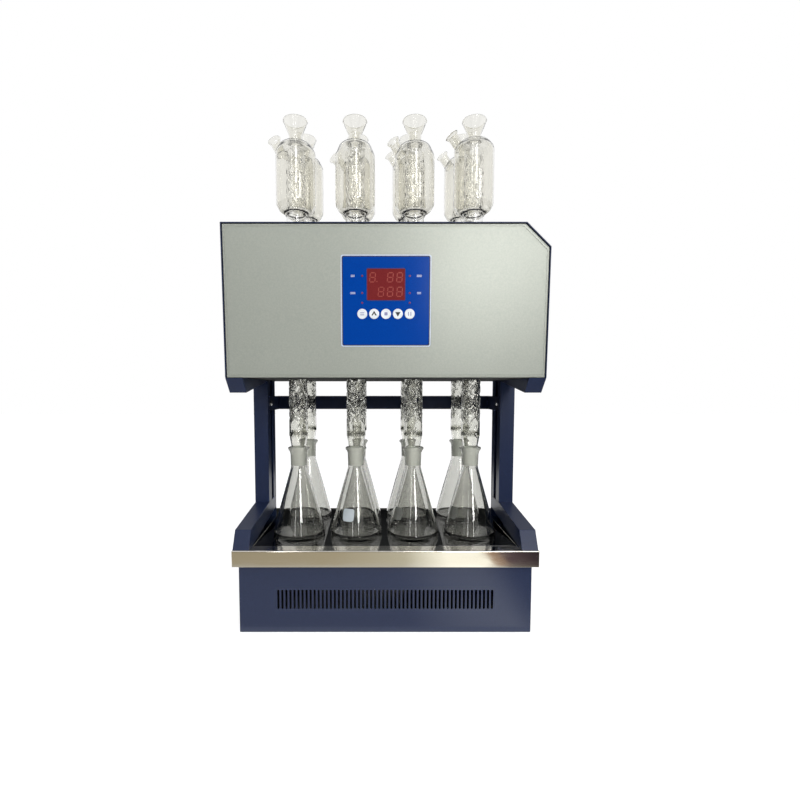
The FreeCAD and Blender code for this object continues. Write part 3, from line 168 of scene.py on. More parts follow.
def even(thing):
    """Lets a large flat face keep its own shading beside a small bend."""
    steady = thing.modifiers.new("even", "WEIGHTED_NORMAL")
    steady.keep_sharp = True


def seat(thing, body, slot, *nodes):
    """Hangs a piece on its body and hides the nodes it stands for. The slot is not used."""
    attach(thing, body)
    if nodes:
        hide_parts(*nodes)


def rounded(points, steps=5):
    """A profile through (x, y, radius) points with each corner drawn as an arc."""
    path = []
    count = len(points)
    for i, (x, y, radius) in enumerate(points):
        here = Vector((x, y))
        if radius <= 0 or i in (0, count - 1):
            path.append((x, y))
            continue
        before = Vector(points[i - 1][:2]) - here
        after = Vector(points[i + 1][:2]) - here
        reach = min(radius * math.tan((math.pi - before.angle(after)) / 2),
                    before.length * 0.48, after.length * 0.48)
        start = here + before.normalized() * reach
        stop = here + after.normalized() * reach
        for k in range(steps + 1):
            f = k / steps
            a = start.lerp(here, f)
            b = here.lerp(stop, f)
            path.append(tuple(a.lerp(b, f)))
    return path


def lathe(bm, profile, segments, closed=True, shift=None):
    """Turns (radius, height) points round +Z. shift moves a point by (angle, radius, height)."""
    rings = []
    for r, z in profile:
        if r < 1e-7:
            rings.append([bm.verts.new((0, 0, z))])
            continue
        ring = []
        for k in range(segments):
            angle = 2 * math.pi * k / segments
            rr, zz = shift(angle, r, z) if shift else (r, z)
            ring.append(bm.verts.new((rr * math.cos(angle), rr * math.sin(angle), zz)))
        rings.append(ring)
    pairs = list(zip(rings, rings[1:]))
    if closed:
        pairs.append((rings[-1], rings[0]))
    for low, high in pairs:
        if len(low) == 1 and len(high) == 1:
            continue
        for k in range(segments):
            n = (k + 1) % segments
            if len(low) == 1:
                face = (low[0], high[n], high[k])
            elif len(high) == 1:
                face = (low[k], low[n], high[0])
            else:
                face = (low[k], low[n], high[n], high[k])
            bm.faces.new(face)


def box_rings(bm, rings, arc=5, closed=True):
    """Joins rounded rectangles (x0, x1, y0, y1, z, radius) into a skin."""
    loops = []
    for x0, x1, y0, y1, z, radius in rings:
        loop = []
        for cx, cy, start in ((x1 - radius, y1 - radius, 0), (x0 + radius, y1 - radius, 90),
                              (x0 + radius, y0 + radius, 180), (x1 - radius, y0 + radius, 270)):
            for k in range(arc + 1):
                angle = math.radians(start + 90 * k / arc)
                loop.append(bm.verts.new((cx + radius * math.cos(angle), cy + radius * math.sin(angle), z)))
        loops.append(loop)
    count = len(loops[0])
    pairs = list(zip(loops, loops[1:]))
    if closed:
        pairs.append((loops[-1], loops[0]))
    for low, high in pairs:
        for k in range(count):
            n = (k + 1) % count
            bm.faces.new((low[k], low[n], high[n], high[k]))
    return loops


def dress(node, material, edge_mm=0.0, segments=3):
    """Gives a frame node its finish, and rounds its sharp edges as a fold or a moulding has them."""
    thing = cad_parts[node]
    thing.data.materials.clear()
    thing.data.materials.append(material)
    if edge_mm:
        weld = thing.modifiers.new("weld", "WELD")
        weld.merge_threshold = 0.002 * MM
        flat = thing.modifiers.new("flat", "DECIMATE")
        flat.decimate_type = "DISSOLVE"
        flat.angle_limit = math.radians(0.5)
        bevel = thing.modifiers.new("edge", "BEVEL")
        bevel.width = edge_mm * MM
        bevel.segments = segments
        bevel.limit_method = "ANGLE"
        bevel.angle_limit = math.radians(40)
        bevel.use_clamp_overlap = True
        bevel.harden_normals = True


def on_panel(x_mm, up_mm, out_mm=0.0):
    """A point on the leaning front, in mm: across, up the slope, and out from the shell's edge."""
    return lean_matrix() @ Vector((x_mm * MM, -out_mm * MM, up_mm * MM))


def lean_matrix():
    """Takes the panel's own axes to the frame's: origin at the middle of the head's lower front edge."""
    return Matrix.Translation(Vector((0, HEAD_FRONT_LOW, HEAD_FOOT))) @ Matrix.Rotation(LEAN, 4, "X")


def prism(bm, low_points, high_points, material):
    """A flat solid between two outlines with matching points."""
    low = [bm.verts.new(point) for point in low_points]
    high = [bm.verts.new(point) for point in high_points]
    made = [bm.faces.new(low[::-1]), bm.faces.new(high)]
    for k in range(len(low)):
        n = (k + 1) % len(low)
        made.append(bm.faces.new((low[k], low[n], high[n], high[k])))
    for face in made:
        face.material_index = material


def slab(bm, outline, back, front, material=0):
    """A flat solid in the panel's own axes: outline in (across, up) mm, between two depths."""
    low, high = ([(x * MM, -depth * MM, z * MM) for x, z in outline] for depth in (back, front))
    prism(bm, low, high, material)


def round_box(cx, cz, width, height, radius, arc=6):
    """A rounded rectangle's outline in mm."""
    points = []
    for sx, sz, start in ((1, 1, 0), (-1, 1, 90), (-1, -1, 180), (1, -1, 270)):
        for k in range(arc + 1):
            angle = math.radians(start + 90 * k / arc)
            points.append((cx + sx * (width / 2 - radius) + radius * math.cos(angle),
                           cz + sz * (height / 2 - radius) + radius * math.sin(angle)))
    return points


# Finishes


def powder_coat(name, code, light_code, rough=0.34, shine=0.5):
    """Powder-coated steel sheet: an even satin colour with the fine orange peel of baked powder."""
    material, tree, shader = new_material(name, Roughness=rough, IOR=1.5, Specular_IOR_Level=shine)
    fleck = grain(tree, 1.1, 3.0)
    feed(tree, between(tree, fleck, linear(code), linear(light_code)), shader, "Base Color")
    feed(tree, between(tree, grain(tree, 60), rough - 0.008, rough + 0.012), shader, "Roughness")
    relief(tree, shader, grain(tree, 1.8, 2.0), 0.04, 0.6)
    return material


def hammered_enamel():
    """Hammer-finish enamel on steel: grey with a leafing metal sheen and shallow dimples."""
    material, tree, shader = new_material("hammer_enamel_grey", Roughness=0.38, Metallic=0.2, IOR=1.5)
    fleck = grain(tree, 2.2, 4.0, Roughness=0.7)
    feed(tree, between(tree, fleck, linear("#A0A59D"), linear("#A9ADA4"), 0.38, 0.62), shader,
         "Base Color")
    dimple = grain(tree, 3.0, 3.0, Distortion=1.2)
    relief(tree, shader, dimple, 0.16, 0.5)
    return material


def polished_steel():
    """Stainless steel polished to a mirror: near-mirror with faint wipe marks and a slight waviness."""
    material, tree, shader = new_material("stainless_mirror_polished", Metallic=1.0, Roughness=0.1)
    shader.inputs["Base Color"].default_value = linear("#DAD6CE")
    wipe = grain(tree, 9, 3.0, stretch=(0.35, 1, 1.6))
    feed(tree, between(tree, wipe, 0.06, 0.14, 0.3, 0.7), shader, "Roughness")
    relief(tree, shader, grain(tree, 60, 1.0), 0.12, 0.5)
    return material


def plain_metal(name, code, rough, brush_mm=(0.4, 6.0)):
    """Bare metal with the fine drawn lines of rolled or plated stock."""
    material, tree, shader = new_material(name, Metallic=1.0, Roughness=rough)
    shader.inputs["Base Color"].default_value = linear(code)
    line = grain(tree, brush_mm[1], 2.0, stretch=(1, brush_mm[1] / brush_mm[0], brush_mm[1] / brush_mm[0]))
    feed(tree, between(tree, line, rough - 0.06, rough + 0.1), shader, "Roughness")
    relief(tree, shader, line, 0.01, 0.4)
    return material


def glass_ceramic():
    """Ground and polished glass-ceramic: deep black and glossy, with the haze of wiped marks."""
    material, tree, shader = new_material("glass_ceramic_polished", IOR=1.52, Roughness=0.05)
    shader.inputs["Base Color"].default_value = linear("#030304")
    haze = grain(tree, 30, 4.0)
    feed(tree, between(tree, haze, 0.015, 0.06, 0.35, 0.75), shader, "Roughness")
    return material


def lets_lamps_through(material):
    """Glass lets the lamps' light through to what stands behind it."""
    tree = material.node_tree
    shader = tree.nodes["Principled BSDF"]
    output = tree.nodes["Material Output"]
    ray = add_node(tree, "ShaderNodeLightPath")
    clear = add_node(tree, "ShaderNodeBsdfTransparent", inputs={"Color": (0.86, 0.88, 0.87, 1)})
    mix = add_node(tree, "ShaderNodeMixShader", inputs={"Fac": ray.outputs["Is Shadow Ray"],
                                                        1: shader.outputs["BSDF"], 2: clear.outputs["BSDF"]})
    tree.links.new(mix.outputs["Shader"], output.inputs["Surface"])


def blown_glass(name, code, absorb, density, low_code=None, streaks=0.0):
    """Flame-worked borosilicate: clear and fire-polished, greyer where the eye looks along the wall.

    low_code is the tint of its lower part, and streaks the depth in mm of the lines drawn along it.
    """
    material, tree, shader = new_material(name, Roughness=0.0, IOR=1.474, Transmission_Weight=1.0)
    shader.inputs["Base Color"].default_value = linear(code)
    if low_code:
        place = add_node(tree, "ShaderNodeTexCoord")
        height = add_node(tree, "ShaderNodeSeparateXYZ", inputs={"Vector": place.outputs["Object"]})
        feed(tree, between(tree, height.outputs["Z"], linear(low_code), linear(code), *LOW_TINT_HEIGHTS), shader,
             "Base Color")
    if streaks:
        relief(tree, shader, grain(tree, 3.2, 1.0, (1, 1, 0.07)), streaks, 0.4)
    else:
        relief(tree, shader, grain(tree, 14, 1.0, (1, 1, 0.3)), 0.03, 0.4)
    depth = add_node(tree, "ShaderNodeVolumeAbsorption", inputs={"Color": linear(absorb), "Density": density})
    tree.links.new(depth.outputs["Volume"], tree.nodes["Material Output"].inputs["Volume"])
    lets_lamps_through(material)
    return material


def ground_glass(name):
    """Borosilicate ground with carborundum: a fine matt frost that scatters what is behind it."""
    material, tree, shader = new_material(name, Roughness=0.45, IOR=1.474, Transmission_Weight=0.4)
    shader.inputs["Base Color"].default_value = linear("#D8D9D2")
    frost = grain(tree, 0.5, 2.0)
    feed(tree, between(tree, frost, 0.38, 0.55), shader, "Roughness")
    lets_lamps_through(material)
    return material


def moulded_plastic(name, code, rough=0.35, texture_mm=0.6, depth_mm=0.02):
    """Moulded plastic: an even colour with the faint spark-eroded texture of its mould."""
    material, tree, shader = new_material(name, Roughness=rough, IOR=1.49)
    base = linear(code)
    lighter = tuple(min(1.0, c * 1.12 + 0.002) for c in base[:3]) + (1.0,)
    feed(tree, between(tree, grain(tree, 18, 2.0), base, lighter), shader, "Base Color")
    relief(tree, shader, grain(tree, texture_mm, 1.0), depth_mm, 0.4)
    return material


def printed_film(name, code, rough=0.42):
    """Screen-printed polyester film: flat saturated ink under a semi-matt face with a slight grain."""
    material, tree, shader = new_material(name, Roughness=rough, IOR=1.45)
    base = linear(code)
    deep = tuple(c * 0.86 for c in base[:3]) + (1.0,)
    feed(tree, between(tree, grain(tree, 1.2, 2.0), deep, base), shader, "Base Color")
    relief(tree, shader, grain(tree, 0.8, 1.0), 0.01, 0.3)
    return material


def fired_ceramic(name, code, rough=0.85):
    """Fired or fibrous ceramic: chalky and matt with open pores."""
    material, tree, shader = new_material(name, Roughness=rough)
    pores = grain(tree, 1.6, 5.0)
    base = linear(code)
    # The pores' hollows are darker: painted shade, from the same noise that bumps the surface.
    dark = tuple(c * 0.72 for c in base[:3]) + (1.0,)
    feed(tree, between(tree, pores, dark, base), shader, "Base Color")
    relief(tree, shader, pores, 0.3, 0.6)
    return material


FINISH = {}


def make_finishes():
    """Every finish by the short name that the pieces use."""
    # Baked powder on steel sheet: satin on the cabinet, duller on the frames and the head, duller again on the
    # strap, and matt black under the head. The frames' and head's navy is a darker copy of the cabinet's, and the
    # strap's darker again: painted shade on the one navy paint.
    FINISH["navy"] = powder_coat("powder_coat_navy", "#232E4E", "#283556", 0.25)
    FINISH["navy_frame"] = powder_coat("powder_coat_navy_frame", "#1E2947", "#232F4F", 0.3, 0.26)
    FINISH["black_sheet"] = powder_coat("powder_coat_blue_black", "#091430", "#0D1A3A", 0.45, 0.16)
    FINISH["underside"] = powder_coat("powder_coat_black_matt", "#06070B", "#090A0F", 0.75)
    FINISH["panel"] = hammered_enamel()
    # Metals: the tray mirrors the room, the plain sheet and screws are softer.
    FINISH["steel"] = polished_steel()
    FINISH["galvanised"] = plain_metal("galvanised_sheet", "#9FA3A6", 0.38)
    FINISH["plated"] = plain_metal("zinc_plated_steel", "#C9CACC", 0.2)
    FINISH["plate"] = glass_ceramic()
    # Glass: the flasks are the greyest, the bulbs a little warm, the tubes clear with drawn lines.
    FINISH["flask_glass"] = blown_glass("borosilicate_flask", "#E6E6E3", "#9B9D9A", 28.0)
    FINISH["tube_glass"] = blown_glass("borosilicate_tube", "#FFFFFF", "#C6C6C2", 6.0, "#EAEAE6", 0.05)
    FINISH["bulb_glass"] = blown_glass("borosilicate_bulb", "#F2F1EC", "#B8B8B5", 9.0, streaks=0.03)
    FINISH["ground"] = ground_glass("borosilicate_ground")
    # Fired enamel: an opaque eggshell skin, or half worn through so that the flask shows.
    FINISH["enamel_patch"] = moulded_plastic("fired_white_enamel", "#B9C2C8", 0.5)
    FINISH["enamel_worn"] = moulded_plastic("fired_enamel_worn", "#8E908B", 0.5)
    FINISH["enamel_worn"].node_tree.nodes["Principled BSDF"].inputs["Transmission Weight"].default_value = 0.5
    # Screen-printed polyester and its inks: even colour, and glossiest on the blue.
    FINISH["overlay"] = printed_film("printed_polyester_blue", "#0044A6", 0.11)
    FINISH["overlay_rim"] = printed_film("printed_polyester_pale", "#D5DFEE")
    # The dark ink rings the display window; inside the pale rim it is painted shade along the overlay's edge.
    FINISH["overlay_line"] = printed_film("printed_ink_and_edge_shade", "#0A1B45")
    FINISH["key_ink"] = printed_film("printed_black_ink", "#14151C", 0.4)
    FINISH["key_tint"] = printed_film("printed_violet_ink", "#9093BC", 0.4)
    FINISH["mark"] = printed_film("printed_white_ink", "#DDE4EE", 0.3)
    # Cast acrylic and the diffusers behind it: a glossy dark red pane with faint unlit figures.
    FINISH["window"] = printed_film("acrylic_red_filter", "#7E2C2E", 0.08)
    FINISH["digit"] = printed_film("segment_diffuser", "#A34A42", 0.2)
    # Mouldings, from the glossy lenses to the dull rubber, then the circuit board and the heater's ceramics.
    FINISH["key"] = moulded_plastic("abs_key_white", "#E4E9EE", 0.28)
    FINISH["lamp"] = moulded_plastic("lamp_lens_red", "#6A2C54", 0.2)
    FINISH["rubber"] = moulded_plastic("nitrile_rubber_foot", "#1B1B1C", 0.7, 1.2, 0.05)
    FINISH["black_plastic"] = moulded_plastic("nylon_black", "#1A1A1C", 0.45)
    FINISH["rocker"] = moulded_plastic("polycarbonate_rocker", "#161617", 0.22)
    FINISH["terminal"] = moulded_plastic("nylon_natural", "#D6D0BE", 0.5)
    FINISH["laminate"] = moulded_plastic("glass_epoxy_laminate", "#1F5A34", 0.4)
    FINISH["fibre"] = fired_ceramic("ceramic_fibre_board", "#E3DDCF", 0.95)
    FINISH["tile"] = fired_ceramic("cordierite_tile", "#CBB89B", 0.8)


# Settings shown in the sidebar


class DigesterGlassSettings(bpy.types.PropertyGroup):
    """Sizes of the glassware, in mm above the plate or from a piece's own axis."""

    flask_radius: bpy.props.FloatProperty(name="Flask radius", description="Widest part of a flask", default=42.4)
    flask_height: bpy.props.FloatProperty(name="Flask height", description="Plate to the flask's rim", default=143.0)
    wall: bpy.props.FloatProperty(name="Glass wall", description="Thickness of the blown wall", default=1.9)
    tube_radius: bpy.props.FloatProperty(name="Tube radius", description="Outside of the condenser tube",
                                         default=15.0)
    bulb_radius: bpy.props.FloatProperty(name="Bulb radius", description="Outside of the water bulb", default=31.0)
    dent_depth: bpy.props.FloatProperty(name="Dent depth", description="How far the tube's points reach in",
                                        default=5.2)
    segments: bpy.props.IntProperty(name="Segments", description="Steps round a turned piece", default=108)


class DigesterPanelSettings(bpy.types.PropertyGroup):
    """Sizes of the control panel, in mm."""

    overlay_side: bpy.props.FloatProperty(name="Overlay side", description="Side of the printed sheet", default=124.0)
    window_width: bpy.props.FloatProperty(name="Window width", description="Display window", default=52.0)
    window_height: bpy.props.FloatProperty(name="Window height", description="Display window", default=42.0)
    window_rise: bpy.props.FloatProperty(name="Window rise", description="Above the overlay's middle", default=22.3)
    key_radius: bpy.props.FloatProperty(name="Key radius", description="Round keys", default=6.9)
    key_pitch: bpy.props.FloatProperty(name="Key pitch", description="Spacing of the keys", default=16.3)
    key_drop: bpy.props.FloatProperty(name="Key drop", description="Below the overlay's middle", default=17.4)


class DigesterStageSettings(bpy.types.PropertyGroup):
    """Light and camera."""

    fill: bpy.props.FloatProperty(name="Fill", description="Light from all round", default=0.45)
    key: bpy.props.FloatProperty(name="Key", description="Large lamp from the right, in watts", default=6.0)
    front: bpy.props.FloatProperty(name="Front", description="Broad lamp behind the camera, in watts", default=13.0)
    strip: bpy.props.FloatProperty(name="Strip", description="Tall lamps behind the camera, in watts", default=4.0)


def settings(group):
    """A group of settings as the scene holds it."""
    return getattr(bpy.context.scene, group)


# Pieces


class DIGESTER_OT_cabinet(bpy.types.Operator):
    """Painted base with its row of slots, rear panel, floor and feet"""

    bl_idname = "digester.cabinet"
    bl_label = "Base cabinet"

    def execute(self, context):
        low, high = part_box("base_cabinet")
        bm = bmesh.new()
        radius, wall = 2.5 * MM, 1.2 * MM
        count, pitch, half_slot, slot_height, slot_rise = 54, 6.04 * MM, 1.6 * MM, 29.6 * MM, 50.5 * MM
        slot_low = low.z + slot_rise - slot_height / 2
        slot_high = slot_low + slot_height
        arc, bend_steps = 6, 5
        levels = [low.z, slot_low - half_slot, slot_high + half_slot, high.z]
        start = -count * pitch / 2
        edges = [low.x + radius, start] + [start + k * pitch for k in range(1, count + 1)] + [high.x - radius]
        front = {(i, j): bm.verts.new((x, low.y, z)) for i, x in enumerate(edges) for j, z in enumerate(levels)}
        for i in range(len(edges) - 1):
            for j in range(3):
                quad = [front[i, j], front[i + 1, j], front[i + 1, j + 1], front[i, j + 1]]
                if j != 1 or not 1 <= i <= count:
                    bm.faces.new(quad)
                    continue
                middle = (edges[i] + edges[i + 1]) / 2
                top = [bm.verts.new((middle + half_slot * math.cos(math.pi * k / arc), low.y,
                                     slot_high - half_slot + half_slot * math.sin(math.pi * k / arc)))
                       for k in range(arc + 1)]
                foot = [bm.verts.new((middle + half_slot * math.cos(math.pi + math.pi * k / arc), low.y,
                                      slot_low + half_slot + half_slot * math.sin(math.pi + math.pi * k / arc)))
                        for k in range(arc + 1)]
                bm.faces.new([quad[0], quad[1]] + foot[::-1])
                bm.faces.new([quad[1], quad[2], top[0], foot[-1]])
                bm.faces.new([quad[2], quad[3]] + top[::-1])
                bm.faces.new([quad[3], quad[0], foot[0], top[-1]])
        for side, column in ((-1, 0), (1, len(edges) - 1)):
            previous = [front[column, j] for j in range(4)]
            x_edge = low.x if side < 0 else high.x
            for k in range(1, bend_steps + 2):
                angle = math.pi / 2 * min(k, bend_steps) / bend_steps
                x = x_edge - side * radius * (1 - math.sin(angle))
                y = low.y + radius * (1 - math.cos(angle)) if k <= bend_steps else high.y
                ring = [bm.verts.new((x, y, z)) for z in levels]
                for j in range(3):
                    bm.faces.new((previous[j], ring[j], ring[j + 1], previous[j + 1]))
                previous = ring
        cabinet = from_bmesh("cabinet_shell", bm, [FINISH["navy"]])
        thick = cabinet.modifiers.new("sheet", "SOLIDIFY")
        thick.thickness = wall
        thick.offset = -1 if cabinet.data.polygons[0].normal.y < 0 else 1
        even(cabinet)
        seat(cabinet, "frame", "navy_paint", "base_cabinet")
        dress("base_floor", FINISH["galvanised"])
        dress("base_rear_panel", FINISH["navy"], 0.25, 2)
        self.make_feet()
        return {"FINISHED"}

    def make_feet(self):
        """Four tapered feet, each with a shallow hollow under it."""
        low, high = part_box("rubber_feet")
        bm = bmesh.new()
        radius = 12 * MM
        for x in (low.x + radius, high.x - radius):
            for y in (low.y + radius, high.y - radius):
                start = len(bm.verts)
                lathe(bm, rounded([(0, 0.0012, 0), (0.0062, 0.0012, 0.0003), (0.0066, 0, 0.0003),
                                   (0.0096, 0, 0.0006), (0.0118, 0.0058, 0.0004), (0, 0.006, 0)], 3), 32,
                      closed=False)
                bm.verts.ensure_lookup_table()
                bmesh.ops.translate(bm, verts=bm.verts[start:], vec=(x, y, 0))
        feet = from_bmesh("moulded_feet", bm, [FINISH["rubber"]])
        seat(feet, "frame", "rubber", "rubber_feet")


class DIGESTER_OT_tray(bpy.types.Operator):
    """Mirror-polished tray folded down all round, with the glass-ceramic plate let into it"""

    bl_idname = "digester.tray"
    bl_label = "Tray and plate"

    def execute(self, context):
        low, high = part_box("steel_tray")
        p_low, p_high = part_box("glass_ceramic_plate")
        lip_height, gap, sheet_wall, bend, bend_steps = 24.5 * MM, 0.3 * MM, 1.0 * MM, 1.6 * MM, 5
        lip = high.z - lip_height

        def ring(inset, z, corner_radius):
            return (low.x + inset, high.x - inset, low.y + inset, high.y - inset, z, corner_radius)

        def hole(outset, z, corner_radius):
            return (p_low.x - gap - outset, p_high.x + gap + outset, p_low.y - gap - outset,
                    p_high.y + gap + outset, z, corner_radius)

        rings = [hole(-7 * MM, p_low.z - 0.01 * MM, 1 * MM), hole(0, p_low.z - 0.01 * MM, 1.2 * MM),
                 hole(0, high.z - 0.7 * MM, 1.2 * MM), hole(0.2 * MM, high.z - 0.2 * MM, 1.4 * MM),
                 hole(0.7 * MM, high.z, 1.9 * MM)]
        for k in range(bend_steps + 1):
            angle = math.pi / 2 * k / bend_steps
            rings.append(ring(bend * (1 - math.sin(angle)), high.z - bend * (1 - math.cos(angle)), 1.8 * MM))
        rings += [ring(0, lip + 0.5 * MM, 1.8 * MM), ring(0.15 * MM, lip + 0.12 * MM, 1.7 * MM),
                  ring(0.5 * MM, lip, 1.4 * MM), ring(sheet_wall, lip + 0.1 * MM, 0.9 * MM),
                  ring(sheet_wall, high.z - sheet_wall, 0.9 * MM), hole(sheet_wall, high.z - sheet_wall, 2 * MM),
                  hole(sheet_wall, p_low.z - sheet_wall, 2 * MM), hole(-7 * MM, p_low.z - sheet_wall, 1 * MM)]
        bm = bmesh.new()
        box_rings(bm, rings)
        tray = from_bmesh("tray_folded", bm, [FINISH["steel"]], 50)
        even(tray)
        seat(tray, "frame", "polished_steel", "steel_tray")

        def plate_ring(inset, z):
            return (p_low.x + inset, p_high.x - inset, p_low.y + inset, p_high.y - inset, z, 1.5 * MM)

        bm = bmesh.new()
        edge = 0.5 * MM
        loops = box_rings(bm, [plate_ring(0.3 * MM, p_low.z), plate_ring(0, p_low.z + 0.3 * MM),
                               plate_ring(0, p_high.z - edge), plate_ring(0.3 * edge, p_high.z - 0.3 * edge),
                               plate_ring(edge, p_high.z)], closed=False)
        bm.faces.new(loops[0][::-1])
        bm.faces.new(loops[-1])
        plate = from_bmesh("plate_polished", bm, [FINISH["plate"]])
        even(plate)
        seat(plate, "frame", "black_glass_ceramic", "glass_ceramic_plate")
        return {"FINISHED"}


class DIGESTER_OT_side_frames(bpy.types.Operator):
    """Folded arms and columns at both sides, and the strap between them with its screws"""

    bl_idname = "digester.side_frames"
    bl_label = "Side frames"

    def execute(self, context):
        # The arms and columns take the darker navy copy, and the strap the darkest: both painted shade.
        for side in ("left", "right"):
            for part in ("lower_arm", "column", "upper_arm"):
                dress(side + "_" + part, FINISH["navy_frame"], 0.7)
        dress("crossbar", FINISH["black_sheet"], 0.5)
        low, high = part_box("crossbar_screws")
        bm = bmesh.new()
        y, z = (low.y + high.y) / 2, (low.z + high.z) / 2
        for side, tip in ((-1, low.x), (1, high.x)):
            start = len(bm.verts)
            # An oval head with a cross recess, its shank through the strap and the column.
            lathe(bm, rounded([(0, 0, 0), (0.002, 0, 0), (0.002, 0.005, 0), (0.0038, 0.005, 0.0002),
                               (0.0037, 0.0062, 0.0008), (0.0018, 0.0074, 0.002), (0.0013, 0.0074, 0.0001),
                               (0.001, 0.0064, 0.0001), (0, 0.0063, 0)], 3), 32, closed=False)
            bm.verts.ensure_lookup_table()
            turn = Matrix.Rotation(-side * math.pi / 2, 4, "Y")
            bmesh.ops.transform(bm, verts=bm.verts[start:], matrix=Matrix.Translation((tip, y, z)) @ turn)
        screws = from_bmesh("strap_screws", bm, [FINISH["plated"]])
        seat(screws, "frame", "plated_steel", "crossbar_screws")
        return {"FINISHED"}


class DIGESTER_OT_head(bpy.types.Operator):
    """Head with its folded shell, inset front panel, floor and slotted back"""

    bl_idname = "digester.head"
    bl_label = "Cooling head"

    def execute(self, context):
        # The shell takes the darker navy copy: painted shade.
        dress("head_shell", FINISH["navy_frame"], 0.6)
        dress("head_floor", FINISH["underside"], 0.3, 2)
        dress("head_back_panel", FINISH["navy"], 0.3, 2)
        height = (HEAD_TOP - HEAD_FOOT) / math.cos(LEAN) / MM
        inset, foot, cut_across, cut_down = 2.3, 0.3, 33, 31
        half = HALF_HEAD / MM - inset
        top = height - inset
        outline = [(-half, foot), (half, foot), (half, top - cut_down), (half - cut_across, top), (-half, top)]
        bm = bmesh.new()
        radius, depth, behind_edge, steps = 1.4, 12.0, 0.6, 5
        loops = []
        # A shallow pressed line runs round the face, then its edge is folded back.
        rings = [(4.1, 0.0), (3.8, 0.45), (3.2, 0.45), (2.9, 0.0)]
        rings += [(radius * (1 - math.sin(a)), radius * (1 - math.cos(a)))
                  for a in (math.pi / 2 * k / steps for k in range(steps + 1))]
        for shrink, back in rings + [(0.0, depth)]:
            loops.append([bm.verts.new(((x - math.copysign(shrink, x)) * MM, (behind_edge + back) * MM,
                                        (foot + shrink if z == foot else z - shrink) * MM)) for x, z in outline])
        bm.faces.new(loops[0])
        for low, high in zip(loops, loops[1:]):
            for k in range(len(outline)):
                n = (k + 1) % len(outline)
                bm.faces.new((low[k], low[n], high[n], high[k]))
        bmesh.ops.transform(bm, verts=bm.verts, matrix=lean_matrix())
        panel = from_bmesh("panel_hammered", bm, [FINISH["panel"]], 30)
        thick = panel.modifiers.new("sheet", "SOLIDIFY")
        thick.thickness = 1.2 * MM
        thick.offset = -1
        even(panel)
        seat(panel, "frame", "grey_panel_paint", "head_front_panel")
        return {"FINISHED"}


